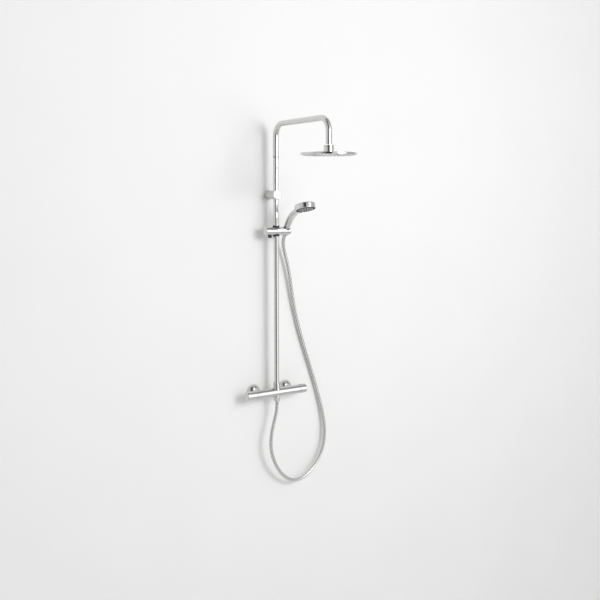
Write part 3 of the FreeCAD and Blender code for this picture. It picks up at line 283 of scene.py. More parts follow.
def added(name, data, material=None):
    """Object in the scene for a mesh, curve, light or camera."""
    obj = bpy.data.objects.new(name, data)
    bpy.context.scene.collection.objects.link(obj)
    if material:
        data.materials.append(material)
    return obj


def piece(name, part, matrix, body, node, sharp=32.0):
    """Object that stands for a CAD node, rides on its body and takes its material slot."""
    vertices, faces = moved(part, matrix)
    mesh = bpy.data.meshes.new(name)
    mesh.from_pydata(vertices, [], faces)
    build = bmesh.new()
    build.from_mesh(mesh)
    bmesh.ops.recalc_face_normals(build, faces=build.faces)
    build.to_mesh(mesh)
    build.free()
    mesh.shade_smooth()
    mesh.set_sharp_from_angle(angle=math.radians(sharp))
    obj = added(name, mesh, MATERIALS[NODE_SLOTS[node]])
    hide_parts(node)
    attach(obj, body)
    return obj


# ---- places ----
def middle(node):
    low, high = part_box(node)
    return (low + high) / 2.0


def heights(node):
    """Lowest and highest point of a node, in millimetres."""
    low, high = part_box(node)
    return low.z / MM, high.z / MM


def upright(x, y):
    """Local millimetres along +Z, above a place in metres."""
    return Matrix.Translation((x, y, 0.0)) @ Matrix.Scale(MM, 4)


def turned_about(place, axis, degrees):
    return Matrix.Translation(place) @ Matrix.Rotation(math.radians(degrees), 4, axis) @ Matrix.Scale(MM, 4)


RISER = middle("lower_riser")
HEAD = middle("head_face_plate")
BRACKET = middle("bracket_cover")
BUTTON = middle("slider_button")
HOLDER = Vector((JOINTS["spray_turn"]["pos_m"][0], RISER.y, JOINTS["holder_tilt"]["pos_m"][2]))
FACE = Vector(JOINTS["spray_turn"]["pos_m"])

ON_RISER = upright(RISER.x, RISER.y)
ON_HEAD = upright(HEAD.x, HEAD.y)
ON_FACE = turned_about(FACE, "X", -FACE_TILT)
ON_BRACKET = turned_about((BRACKET.x, 0.0, BRACKET.z), "X", 90.0)
INLETS = [turned_about((side * INLET_X * MM, 0.0, 0.0), "X", 90.0) for side in (-1, 1)]


def on_mixer_end(side):
    """Local +Z leads out of the mixer at its left (-1) or right (+1) end, from the handle's gap on."""
    face = JOINTS["diverter_turn" if side < 0 else "temperature_turn"]["pos_m"]
    return turned_about(face, "Y", 90.0 * side)


# ---- materials ----
def shader_node(tree, kind, inputs=None, **settings):
    """New node in a tree. Each input, by name or number, takes a value or another node's output."""
    node = tree.nodes.new("ShaderNode" + kind)
    for name, value in settings.items():
        setattr(node, name, value)
    for key, value in (inputs or {}).items():
        if isinstance(value, bpy.types.NodeSocket):
            tree.links.new(value, node.inputs[key])
        else:
            node.inputs[key].default_value = value
    return node


class Material:
    """Principled material whose roughness and relief come from noise in the piece's own space."""

    def __init__(self, name, colour, settings):
        self.data = bpy.data.materials.new(name)
        self.data.use_nodes = True
        self.tree = self.data.node_tree
        self.shader = self.tree.nodes["Principled BSDF"]
        self.shader.inputs["Base Color"].default_value = (*colour, 1.0)
        for socket, value in settings.items():
            self.shader.inputs[socket].default_value = value
        self.place = self.node("TexCoord").outputs["Object"]

    def node(self, kind, inputs=None, **settings):
        return shader_node(self.tree, kind, inputs, **settings)

    def link(self, source, name):
        self.tree.links.new(source, self.shader.inputs[name])

    def noise(self, scale, detail=3.0, stretch=None):
        """Soft noise; a stretch scales it differently along each axis, for brushed or drawn marks."""
        place = self.place
        if stretch:
            place = self.node("Mapping", {"Scale": stretch, "Vector": place}).outputs["Vector"]
        return self.node("TexNoise", {"Scale": scale, "Detail": detail, "Vector": place}).outputs["Fac"]

    def grains(self, scale):
        """Small cells, such as the grain of a satin mould."""
        return self.node("TexVoronoi", {"Scale": scale, "Vector": self.place}).outputs["Distance"]

    def spread(self, source, low, high):
        """Maps the middle of a noise to a range."""
        span = {"Value": source, "From Min": 0.3, "From Max": 0.7, "To Min": low, "To Max": high}
        return self.node("MapRange", span).outputs["Result"]

    def roughness(self, source, low, high):
        self.link(self.spread(source, low, high), "Roughness")

    def tint(self, source, first, second):
        """Colour that wanders between two tones."""
        self.mix(self.spread(source, 0.0, 1.0), first, second)

    def mix(self, share, first, second):
        """Colour between two tones; a Mix node's numbered sockets are its share, colours and result."""
        node = self.node("Mix", {0: share, 6: (*first, 1.0), 7: (*second, 1.0)}, data_type="RGBA")
        self.link(node.outputs[2], "Base Color")

    def relief(self, source, depth, strength=1.0):
        """Fine relief; several calls add up."""
        node = self.node("Bump", {"Strength": strength, "Distance": depth, "Height": source})
        before = self.shader.inputs["Normal"].links
        if before:
            self.tree.links.new(before[0].from_socket, node.inputs["Normal"])
        self.link(node.outputs["Normal"], "Normal")


METAL = {"Metallic": 1.0}


def chrome():
    """Polished plate: water-film smears in the gloss and a trace of polishing marks."""
    made = Material("chrome", (0.64, 0.64, 0.635), METAL)
    made.roughness(made.noise(34.0, 5.0), 0.02, 0.07)
    made.tint(made.noise(60.0, 4.0), (0.62, 0.62, 0.615), (0.67, 0.67, 0.665))
    made.relief(made.noise(900.0, 2.0, (1.0, 1.0, 0.12)), 0.00001, 0.35)
    return made.data


def plated_plastic():
    """Plated ABS: a little softer in the gloss, with the faint waves of a moulding."""
    made = Material("plated_plastic", (0.66, 0.66, 0.655), METAL)
    made.roughness(made.noise(48.0, 4.0), 0.03, 0.085)
    made.tint(made.noise(70.0, 3.0), (0.64, 0.64, 0.635), (0.69, 0.69, 0.685))
    made.relief(made.noise(55.0, 1.0), 0.00005, 0.25)
    return made.data


def brass():
    made = Material("brass", (0.72, 0.56, 0.30), METAL)
    made.tint(made.noise(120.0, 5.0), (0.60, 0.44, 0.22), (0.76, 0.60, 0.33))
    made.roughness(made.noise(160.0, 4.0), 0.18, 0.38)
    made.relief(made.noise(1500.0, 2.0, (0.1, 1.0, 1.0)), 0.00003, 0.5)
    return made.data


def satin_plastic(name, dark, light, rough, smooth, specular=0.4):
    """Moulded plastic with a fine satin grain and small changes of tone."""
    made = Material(name, dark, {"IOR": 1.5, "Specular IOR Level": specular})
    made.tint(made.noise(90.0, 4.0), dark, light)
    made.roughness(made.noise(220.0, 3.0), smooth, rough)
    made.relief(made.grains(2600.0), 0.00004, 0.35)
    made.relief(made.noise(160.0, 2.0), 0.00008, 0.2)
    return made.data


def silicone():
    depth = {"Subsurface Weight": 0.12, "Subsurface Radius": (0.002, 0.002, 0.002)}
    made = Material("soft_nozzle", (0.62, 0.63, 0.64), {"IOR": 1.41, **depth})
    made.tint(made.noise(260.0, 3.0), (0.58, 0.59, 0.60), (0.68, 0.69, 0.70))
    made.roughness(made.noise(500.0, 3.0), 0.45, 0.65)
    made.relief(made.grains(4200.0), 0.00003, 0.3)
    return made.data


def seal_rubber():
    made = Material("seal_rubber", (0.035, 0.035, 0.036), {"IOR": 1.5})
    made.tint(made.noise(300.0, 4.0), (0.025, 0.025, 0.026), (0.055, 0.055, 0.056))
    made.roughness(made.noise(400.0, 3.0), 0.6, 0.85)
    made.relief(made.noise(2400.0, 3.0), 0.00005, 0.4)
    return made.data


def steel(name, tone, low, high, stretch):
    """Plain steel with marks along one direction, from drawing or turning."""
    light = tuple(min(1.0, value + 0.07) for value in tone)
    made = Material(name, tone, METAL)
    made.tint(made.noise(200.0, 4.0), tone, light)
    made.roughness(made.noise(700.0, 3.0, stretch), low, high)
    made.relief(made.noise(2000.0, 2.0, stretch), 0.00003, 0.5)
    return made.data


def hose_cover():
    """Silver-effect PVC: metallic foil under a clear skin, with painted shade that darkens its colour in the
    grooves between its ribs.
    """
    foil = {"Metallic": 0.85, "Coat Weight": 0.5, "Coat Roughness": 0.12}
    made = Material("hose_cover", (0.62, 0.62, 0.62), foil)
    # Painted shade: the rib attribute is 1 on the crests and 0 in the grooves, and darkens the colour there.
    groove_shade_mask = made.node("Attribute", attribute_name="rib_shade").outputs["Fac"]
    clouds = made.spread(made.noise(150.0, 5.0), 0.8, 1.0)
    brightness = made.node("Math", {0: groove_shade_mask, 1: clouds}, operation="MULTIPLY").outputs[0]
    # Painted shade: near black in the grooves, light silver on the crests.
    made.mix(brightness, (0.22, 0.22, 0.216), (0.82, 0.82, 0.812))
    made.roughness(made.noise(320.0, 4.0), 0.22, 0.36)
    made.relief(made.noise(1300.0, 2.0), 0.00004, 0.4)
    return made.data


MATERIALS = {
    "chrome": chrome(),
    "plated_plastic": plated_plastic(),
    "brass": brass(),
    "black_plastic": satin_plastic("black_plastic", (0.012, 0.012, 0.013), (0.028, 0.028, 0.030), 0.48, 0.32),
    "charcoal_plastic": satin_plastic("charcoal_plastic", (0.008, 0.008, 0.009), (0.018, 0.018, 0.019),
                                      0.60, 0.50, specular=0.04),
    "white_plastic": satin_plastic("white_plastic", (0.78, 0.78, 0.76), (0.86, 0.86, 0.84), 0.50, 0.36),
    "button_grey": satin_plastic("button_grey", (0.50, 0.51, 0.52), (0.58, 0.59, 0.60), 0.46, 0.32),
    "soft_nozzle": silicone(),
    "seal_rubber": seal_rubber(),
    "spring_steel": steel("spring_steel", (0.58, 0.58, 0.58), 0.24, 0.36, (1.0, 1.0, 6.0)),
    "steel": steel("steel", (0.62, 0.62, 0.63), 0.22, 0.40, (8.0, 1.0, 8.0)),
    "hose_cover": hose_cover(),
}


def plaster(name, colour, scale):
    """Painted wall or floor: almost even, with a very soft mottle."""
    made = Material(name, colour, {"Specular IOR Level": 0.2})
    darker = tuple(value * 0.985 for value in colour)
    made.tint(made.noise(scale, 3.0), darker, colour)
    made.roughness(made.noise(scale * 4.0, 2.0), 0.75, 0.9)
    return made


# ---- surroundings ----
def make_camera():
    data = bpy.data.cameras.new("camera")
    data.lens = CAMERA_LENS
    data.sensor_width = CAMERA_SENSOR
    camera = added("camera", data)
    camera.location = CAMERA_PLACE
    camera.rotation_euler = (math.radians(90.0 - CAMERA_PITCH), 0.0, math.radians(-CAMERA_YAW))
    bpy.context.scene.camera = camera


def make_key_light():
    data = bpy.data.lights.new("key", "AREA")
    data.energy = KEY_WATTS
    data.shape = "SQUARE"
    data.size = KEY_SIZE
    light = added("key", data)
    light.location = KEY_PLACE
    light.rotation_euler = (Vector(KEY_TARGET) - Vector(KEY_PLACE)).to_track_quat("-Z", "Y").to_euler()


def brightness_ramp(tree, share, stops, span):
    """Brightness between (degrees, value) stops, for a share of the full span of degrees."""
    node = shader_node(tree, "ValToRGB", {"Fac": share})
    node.color_ramp.interpolation = "EASE"
    elements = node.color_ramp.elements
    while len(elements) < len(stops):
        elements.new(0.5)
    for element, (degrees, value) in zip(elements, stops):
        element.position = degrees / span + 0.5
        element.color = (value, value, value, 1.0)
    return node.outputs["Color"]


def make_room():
    """Pale studio whose brightness depends on the direction, so that the chrome has something to show."""
    world = bpy.data.worlds.new("room")
    bpy.context.scene.world = world
    world.use_nodes = True
    tree = world.node_tree

    def calculation(operation, *values):
        return shader_node(tree, "Math", dict(enumerate(values)), operation=operation).outputs[0]

    direction = shader_node(tree, "TexCoord").outputs["Generated"]
    split = shader_node(tree, "SeparateXYZ", {0: direction}).outputs
    azimuth = calculation("ARCTAN2", split["X"], calculation("MULTIPLY", split["Y"], -1.0))
    elevation = calculation("ARCSINE", split["Z"])
    azimuth_share = calculation("MULTIPLY_ADD", azimuth, 1.0 / (2.0 * math.pi), 0.5)
    elevation_share = calculation("MULTIPLY_ADD", elevation, 1.0 / math.pi, 0.5)
    by_azimuth = brightness_ramp(tree, azimuth_share, ROOM_BY_AZIMUTH, 360.0)
    by_elevation = brightness_ramp(tree, elevation_share, ROOM_BY_ELEVATION, 180.0)
    background = tree.nodes["Background"]
    background.inputs["Color"].default_value = (1.0, 1.0, 1.0, 1.0)
    tree.links.new(calculation("MULTIPLY", by_azimuth, by_elevation), background.inputs["Strength"])


def make_plane(name, place, material):
    """Large square backdrop; place(across, along) gives its corners."""
    corners = [place(ROOM * u, ROOM * v) for u, v in ((-1, -1), (1, -1), (1, 1), (-1, 1))]
    mesh = bpy.data.meshes.new(name)
    mesh.from_pydata(corners, [], [(0, 1, 2, 3)])
    obj = added(name, mesh, material)


def see_through_from_behind(made):
    """Leaves the wall out of pictures taken from behind it."""
    behind = made.node("NewGeometry").outputs["Backfacing"]
    clear = made.node("BsdfTransparent").outputs[0]
    choice = made.node("MixShader", {0: behind, 1: made.shader.outputs[0], 2: clear})
    made.tree.links.new(choice.outputs[0], made.tree.nodes["Material Output"].inputs["Surface"])


def make_surroundings():
    wall = plaster("wall_paint", WALL_COLOUR, 3.0)
    see_through_from_behind(wall)
    make_plane("wall", lambda u, v: (u, WALL_Y, v), wall.data)
    floor = plaster("floor_paint", FLOOR_COLOUR, 4.0)
    make_plane("floor", lambda u, v: (u, v, FLOOR_Z), floor.data)
    make_room()
    make_key_light()
    bpy.context.scene.view_settings.view_transform = "Standard"


# ---- hose ----
def spline_points():
    """Points read from the route's NURBS spline."""
    curve = bpy.data.curves.new("hose_route", "CURVE")
    curve.dimensions = "3D"
    curve.resolution_u = SPLINE_STEPS
    spline = curve.splines.new("NURBS")
    spline.points.add(len(HOSE_ROUTE) - 1)
    for point, place in zip(spline.points, HOSE_ROUTE):
        point.co = (*place, 1.0)
    spline.order_u = 3
    spline.use_endpoint_u = True
    route = added("hose_route", curve)
    bpy.context.view_layer.update()
    mesh = bpy.data.meshes.new_from_object(route)
    points = np.array([tuple(v.co) for v in mesh.vertices])
    bpy.data.objects.remove(route)
    bpy.data.curves.remove(curve)
    bpy.data.meshes.remove(mesh)
    return points


class Line:
    """Smooth line through close points: place and frame at any distance along it."""

    def __init__(self, points):
        gaps = np.linalg.norm(np.diff(points, axis=0), axis=1)
        points = points[np.concatenate([[True], gaps > 1e-7])]
        gaps = np.linalg.norm(np.diff(points, axis=0), axis=1)
        self.along = np.concatenate([[0.0], np.cumsum(gaps)])
        self.length = self.along[-1]
        self.points = points
        tangents = np.gradient(points, self.along, axis=0)
        self.tangents = tangents / np.linalg.norm(tangents, axis=1)[:, None]
        side = np.array([1.0, 0.0, 0.0])
        sides = []
        for tangent in self.tangents:
            side = side - tangent * side.dot(tangent)
            side = side / np.linalg.norm(side)
            sides.append(side)
        self.sides = np.array(sides)

    def at(self, distances, values):
        return np.stack([np.interp(distances, self.along, values[:, k]) for k in range(3)], axis=-1)

    def surface(self, distances, angles, radii):
        """Points round the line, each at its own distance, angle and radius."""
        centre = self.at(distances, self.points)
        tangent = self.at(distances, self.tangents)
        side = self.at(distances, self.sides)
        side = side / np.linalg.norm(side, axis=-1, keepdims=True)
        up = np.cross(tangent, side)
        up = up / np.linalg.norm(up, axis=-1, keepdims=True)
        reach = radii[..., None]
        return centre + reach * (np.cos(angles)[..., None] * side + np.sin(angles)[..., None] * up)


def ribbed_hose(line):
    """The hose as a bmesh of rings, closed at both ends, with ribs that wind round it side by side."""
    rings = int(math.ceil(line.length / HOSE_RING)) + 1
    steps = 2.0 * math.pi * np.arange(HOSE_STEPS) / HOSE_STEPS
    distances, angles = np.meshgrid(np.linspace(0.0, line.length, rings), steps, indexing="ij")
    across = (HOSE_RIBS * (angles / (2.0 * math.pi) - distances / HOSE_LEAD)) % 1.0
    crests = 1.0 - (2.0 * across - 1.0) ** 2
    radii = HOSE_DIAMETER / 2.0 - HOSE_GROOVE * (1.0 - crests)
    build = bmesh.new()
    row_layer = build.faces.layers.int.new("row")
    # Per-vertex crest share: 1 on the crests, 0 in the grooves; the hose material paints shade into the grooves
    # from it.
    groove_shade_layer = build.verts.layers.float.new("rib_shade")
    made = []
    for places, brightness in zip(line.surface(distances, angles, radii), crests):
        made.append([build.verts.new(place) for place in places])
        for vertex, value in zip(made[-1], brightness):
            vertex[groove_shade_layer] = value
    build.faces.new(made[0][::-1])[row_layer] = 0
    build.faces.new(made[-1])[row_layer] = rings - 2
    for k in range(rings - 1):
        for j in range(HOSE_STEPS):
            corners = (made[k][j], made[k][j - 1], made[k + 1][j - 1], made[k + 1][j])
            build.faces.new(corners)[row_layer] = k
    bmesh.ops.recalc_face_normals(build, faces=build.faces)
    return build


def hose_piece(name, build, first_row, last_row):
    """Part of the hose from one row to another."""
    part = build.copy()
    layer = part.faces.layers.int["row"]
    unwanted = [face for face in part.faces if not first_row <= face[layer] < last_row]
    bmesh.ops.delete(part, geom=unwanted, context="FACES")
    mesh = bpy.data.meshes.new(name)
    part.to_mesh(mesh)
    part.free()
    mesh.shade_smooth()
    mesh.set_sharp_from_angle(angle=math.radians(50.0))
    mesh.attributes.remove(mesh.attributes["row"])
    obj = added(name, mesh, MATERIALS["hose_cover"])
    return obj


def make_hose():
    line = Line(spline_points())
    build = ribbed_hose(line)
    ring = line.length / math.ceil(line.length / HOSE_RING)
    limits = [0] + [round(cut / ring) for cut in HOSE_CUTS] + [round(line.length / ring)]
    spans = zip(HOSE_NAMES, limits, limits[1:])
    run, rise, bend, end = [hose_piece(name, build, first, last) for name, first, last in spans]
    build.free()
    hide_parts("hose")
    cuts = [row * ring for row in limits]
    places = [Vector(point) for point in line.at(np.array(cuts), line.points)]
    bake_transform(run)
    places[1] + beyond(line, cuts[1])
    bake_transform(rise)
    places[2] + beyond(line, cuts[2])
    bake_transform(bend)
    places[3] + beyond(line, cuts[3])
    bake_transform(end)


def beyond(line, distance):
    """Short way along the hose past a cut."""
    ahead = line.at(np.array([distance + HOSE_JOIN]), line.points)[0]
    here = line.at(np.array([distance]), line.points)[0]
    return Vector(ahead - here)


# ---- pipes ----
def make_riser():
    low, high = heights("lower_riser")
    shoulder = low + RISER_COLLAR
    outline = profile((RISER_BORE, low), (RISER_COLLAR_R, low), (RISER_COLLAR_R, shoulder),
                      (RISER_R, shoulder), (RISER_R, high, EDGE), (RISER_BORE, high))
    piece("riser_pipe", turned(outline), ON_RISER, "column", "lower_riser")


def make_riser_nut():
    """Nut with a wider foot and two fine grooves, bored in two steps for the riser and its collar."""
    low, high = heights("riser_nut")
    radius = 14.0
    foot_r = 15.3
    foot = low + 2.3
    bore = 11.1
    neck = 10.05
    shelf = low + 15.4
    outline = profile((bore, low), (foot_r, low), (foot_r, foot, EDGE), (radius, foot),
                      *groove(radius, low + 5.0, 0.4), *groove(radius, high - 5.2, 0.4), (radius, high, 1.4),
                      (neck, high, 0.3), (neck, shelf), (bore, shelf))
    piece("riser_nut_ring", turned(outline), ON_RISER, "column", "riser_nut")


def make_arm():
    """Up from the telescope, a quarter bend forwards, along, and a quarter bend down to the head."""
    low, high = heights("arm_tube")
    rear = RISER.y / MM
    front = HEAD.y / MM
    top = high - ARM_R - ARM_BEND
    centres = [Vector((0.0, rear, low))]
    turns = [0.0]
    for bend_y, quarter in ((rear - ARM_BEND, 0.0), (front + ARM_BEND, 1.0)):
        for k in range(BEND_STEPS + 1):
            angle = 0.5 * math.pi * (quarter + k / BEND_STEPS)
            out = ARM_BEND * math.cos(angle)
            up = ARM_BEND * math.sin(angle)
            centres.append(Vector((0.0, bend_y + out, top + up)))
            turns.append(angle)
    centres.append(Vector((0.0, front, HEAD_PLUG_Z)))
    turns.append(math.pi)
    directions = [Vector((0.0, -math.sin(angle), math.cos(angle))) for angle in turns]
    # Along the outside, whose end edges are broken, and back along the bore.
    edge = 0.35
    outside = [centres[0], centres[0] + directions[0] * edge] + centres[1:-1]
    outside += [centres[-1] - directions[-1] * edge, centres[-1]]
    outside_directions = [directions[0]] + directions + [directions[-1]]
    radii = [ARM_R - edge] + [ARM_R] * len(centres) + [ARM_R - edge] + [ARM_BORE] * len(centres)
    path = outside + centres[::-1]
    part = swept(path, outside_directions + directions[::-1], Vector((1.0, 0.0, 0.0)), radii)
    piece("overhead_arm", part, Matrix.Scale(MM, 4), "arm", "arm_tube")


def make_arm_screw():
    """Lock screw with a hexagonal socket at the back of the telescope."""
    low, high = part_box("arm_set_screw")
    depth = (high.y - low.y) / MM
    radius = 2.0
    flat = 1.0                  # half width of the socket
    floor = 0.2

    def socket(angle, reach):
        return hexagon_reach(angle, reach) if reach <= flat else reach

    outline = profile((0.0, 0.0), (radius, 0.0), (radius, depth, 0.15), (flat, depth), (flat * 0.999, floor),
                      (0.0, floor))
    part = turned(outline, steps=48, outline=socket)
    place = turned_about(((low.x + high.x) / 2.0, low.y, (low.z + high.z) / 2.0), "X", -90.0)
    piece("arm_lock_screw", part, place, "arm", "arm_set_screw")


# ---- inlets ----
def on_both_inlets(part):
    return joined([moved(part, place) for place in INLETS])


def make_roses():
    """Domed wall roses with a rolled foot and a flat front."""
    hole = 13.42
    wall = 1.2
    lip = 1.6                   # thickness of the flat front
    depth = 20.0
    foot = 30.0
    front = hole + wall
    centre = (foot ** 2 - front ** 2 - depth ** 2) / (2.0 * depth)
    radius = math.hypot(foot, centre)
    rolled = [(foot - 0.9, 0.0), (foot - 0.15, 0.25), (foot, 0.7)]
    outside = arc_points(-centre, radius, wall, depth - EDGE, 20)
    flat = [(front - 0.45, depth), (hole, depth), (hole, depth - lip)]
    inside = arc_points(-centre, radius - wall, wall / 2.0, depth - lip, 20)
    part = on_both_inlets(turned(rolled + outside + flat + inside[::-1] + [(foot - 1.4, 0.0)]))
    piece("wall_roses", part, Matrix.Identity(4), "column", "escutcheons")


def make_union_nuts():
    """Hexagon nuts with chamfered corners, bored in two steps for the mixer's tails."""
    low = 21.0
    high = 40.5
    flat = 15.0                 # half width across the flats
    face = flat - 0.6
    bore = 13.27
    neck = 10.7
    shelf = 34.6
    corner = 0.97 * flat / math.cos(math.pi / 6.0)
    chamfer = (corner - face) * math.tan(math.radians(30.0))

    def hexagon(angle, radius):
        return min(hexagon_reach(angle, flat), radius) if radius >= face else radius

    outline = [(bore, low), (face, low), (corner, low + chamfer), (corner, high - chamfer), (face, high),
               (neck, high), (neck, shelf), (bore, shelf)]
    part = on_both_inlets(turned(outline, steps=144, outline=hexagon))
    piece("inlet_nuts", part, Matrix.Identity(4), "column", "union_nuts", sharp=20.0)


# ---- mixer handles ----
def make_flow_handle():
    """Handle with a fine joint groove; hollow behind, with a web and a hub for the spindle."""
    low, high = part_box("diverter_handle")
    length = (high.x - low.x) / MM
    hollow = 15.5
    web = 13.0
    seat = 14.0
    seat_floor = 16.0
    screw_hole = 2.1
    hub = 6.5
    hub_foot = 2.0
    hub_bore = 4.02
    hub_floor = 14.1
    outline = profile((hollow, 0.0), (MIXER_R, 0.0, 0.5), *groove(MIXER_R, 2.6, 0.35), (MIXER_R, length, 2.5),
                      (seat, length, 0.3), (seat, seat_floor), (screw_hole, seat_floor),
                      (screw_hole, hub_floor), (hub_bore, hub_floor), (hub_bore, hub_foot), (hub, hub_foot),
                      (hub, web), (hollow, web))
    piece("flow_handle", turned(outline), on_mixer_end(-1), "diverter", "diverter_handle")


def make_handle_caps():
    """Caps with a raised rim round a shallow dish, and a skirt that goes into the handle."""
    skirt = 12.4
    radius = 13.95
    depth = 6.5
    thickness = 2.5
    for side, body, kind in ((-1, "diverter", "diverter"), (1, "thermostat", "temperature")):
        node = f"{kind}_handle_cap"
        low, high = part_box(node)
        foot = on_mixer_end(side).translation.x
        top = max(abs(low.x - foot), abs(high.x - foot)) / MM
        outline = profile((skirt, top - depth), (radius, top - depth), (radius, top, 0.7), (12.6, top, EDGE),
                          (12.1, top - 0.55, EDGE), (8.0, top - 0.75), (4.0, top - 0.86), (0.0, top - 0.9))
        underside = [(skirt, top - thickness), (0.0, top - thickness)]
        part = turned(outline[::-1] + underside)
        piece(f"{kind}_cap", part, on_mixer_end(side), body, node)


# ---- rain head ----
def socket_height(radius, side):
    """Height of the ball socket's wall at a radius, below (-1) or above (1) the ball's centre."""
    return BALL_Z + side * math.sqrt(SOCKET_R ** 2 - radius ** 2)


def make_head_shell():
    """Pressed dish with a rolled rim and the boss that carries the ball socket."""
    wall = 1.2
    under = HEAD_TOP - wall
    skirt = HEAD_R - wall
    rim = 927.0
    bore = 4.0
    seal_inside = 6.0
    seal_outside = 8.3
    seal_floor = 936.3
    boss = 15.0
    boss_top = 941.0
    outline = [(bore, under), (bore, socket_height(bore, -1)), (seal_inside, socket_height(seal_inside, -1)),
               (seal_inside, seal_floor), (seal_outside, seal_floor)]
    outline += arc_points(BALL_Z, SOCKET_R, socket_height(seal_outside, -1), boss_top, 5)
    outline += profile((seal_outside, boss_top), (boss, boss_top, EDGE), (boss, HEAD_TOP, 0.8),
                       (HEAD_R, HEAD_TOP, 1.7), (HEAD_R, rim, 0.35), (skirt, rim), (skirt, under),
                       (HEAD_R / 2.0, under))[1:]
    piece("head_shell", turned(outline, steps=160), ON_HEAD, "rain_head", "head_top_shell")


def on_rings(part, rings, pitch):
    """Copies of a part at the centre and on rings of 6, 12, 18 ... evenly spaced places."""
    copies = [part]
    for ring in range(1, rings + 1):
        for step in range(6 * ring):
            angle = 2.0 * math.pi * step / (6 * ring)
            place = (ring * pitch * math.cos(angle), ring * pitch * math.sin(angle), 0.0)
            copies.append(moved(part, Matrix.Translation(place)))
    return copies


def make_head_nozzles():
    """Silicone mat with a conical nozzle for every hole, each with a rounded lip and a bore."""
    tip = HEAD_TOP - 10.0
    bore = 0.45
    floor = tip + 1.6
    mat_r = 97.0
    mat = tip + 4.0
    mat_top = mat + 1.2
    root = mat + 0.1
    lip = [(bore, tip + 0.1), (0.6, tip), (0.95, tip), (1.1, tip + 0.15)]
    nozzle = turned([(0.0, floor), (bore, floor)] + lip + [(1.5, root), (0.0, root)], steps=16)
    sheet = turned(profile((0.0, mat), (mat_r, mat), (mat_r, mat_top, EDGE), (0.0, mat_top)))
    part = joined([sheet] + on_rings(nozzle, NOZZLE_RINGS, NOZZLE_PITCH))
    piece("head_nozzles", part, ON_HEAD, "rain_head", "head_nozzle_mat")


def make_ball_collar():
    """Round nut that holds the ball, with a raised ring at the top and a fine groove above its foot."""
    low, high = heights("ball_joint_nut")
    radius = 18.0
    thread = 15.05
    shelf = 941.15
    mouth = 11.2
    opening = socket_height(mouth, 1)
    outline = profile((thread, low), (radius, low, EDGE), *groove(radius, low + 2.2, 0.4),
                      *groove(radius, high - 6.2, 0.5, width=1.4, slope=0.4), (radius, high, 1.1),
                      (mouth, high, 0.5), (mouth, opening))
    outline += arc_points(BALL_Z, SOCKET_R, opening, shelf, 16)[1:]
    outline += [(thread, shelf)]
    piece("ball_collar", turned(outline), ON_HEAD, "rain_head", "ball_joint_nut")


# ---- bracket ----
def make_bracket_cover():
    """Slightly crowned disc with a rounded rim and two snap pegs."""
    front = 73.5
    back = 71.6
    radius = 19.0
    outline = profile((0.0, back), (radius - 0.4, back), (radius, back + 0.3), (radius, front - 0.35, 1.1),
                      (12.0, front - 0.12), (6.0, front - 0.03), (0.0, front))
    disc = turned(outline)
    peg_r = 1.4
    peg_tip = 66.5
    peg_root = back + 0.2
    peg_place = 14.5
    outline = profile((0.0, peg_tip), (peg_r, peg_tip, EDGE), (peg_r, peg_root), (0.0, peg_root))
    peg = turned(outline, steps=24)
    pegs = [moved(peg, Matrix.Translation((side * peg_place, 0.0, 0.0))) for side in (-1, 1)]
    piece("bracket_disc", joined([disc] + pegs), ON_BRACKET, "column", "bracket_cover")


# ---- slider ----
def make_slider_button():
    """Push button with grip rings round its foot and a dished face."""
    low, high = heights("slider_button")
    radius = 7.5
    corners = [(0.0, low + 0.5), (4.0, low + 0.35), (6.2, low, 0.6), (radius, low + 1.2, 0.5)]
    for k in range(3):
        corners += groove(radius, low + 2.0 + 1.3 * k, 0.35, width=0.8, slope=0.25)
    corners += [(radius, high, 0.3), (0.0, high)]
    part = turned(profile(*corners), steps=64)
    piece("slider_push", part, upright(BUTTON.x, BUTTON.y), "slider_button", "slider_button")


def coil(low, high, radius, wire, turns):
    """Compression spring with its end turns lying flat."""
    turn_steps = 24
    round_steps = 10
    flat_turns = 0.75
    steps = int(turns * turn_steps)
    rise = high - low - 2.0 * wire
    centres = []
    for k in range(steps + 1):
        part = k / steps
        angle = 2.0 * math.pi * turns * part
        eased = min(1.0, max(0.0, (part * turns - flat_turns) / (turns - 2.0 * flat_turns)))
        height = low + wire + rise * eased
        centres.append(Vector((radius * math.cos(angle), radius * math.sin(angle), height)))
    vertices = []
    for k, centre in enumerate(centres):
        ahead = centres[min(k + 1, steps)] - centres[max(k - 1, 0)]
        out = Vector((centre.x, centre.y, 0.0)).normalized()
        vertices += circle(centre, out, ahead.cross(out).normalized(), wire, round_steps)
    rings = np.arange(len(vertices)).reshape(-1, round_steps).tolist()
    return vertices, skin(rings) + [rings[0][::-1], rings[-1]]


def make_springs():
    """Wire springs behind the stop button and the slider's button."""
    wire = 0.4
    for node, body, joint, held, turns in (
            ("stop_button_spring", "thermostat", "stop_button_press", "low", 5),
            ("slider_button_spring", "slider", "slider_button_press", "high", 8)):
        low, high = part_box(node)
        centre = (low + high) / 2.0
        outer = (high.x - low.x) / 2.0 / MM
        part = coil(low.z / MM, high.z / MM, outer - wire, wire, turns)
        obj = piece(node.replace("spring", "coil"), part, upright(centre.x, centre.y), body, node)
        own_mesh(obj)


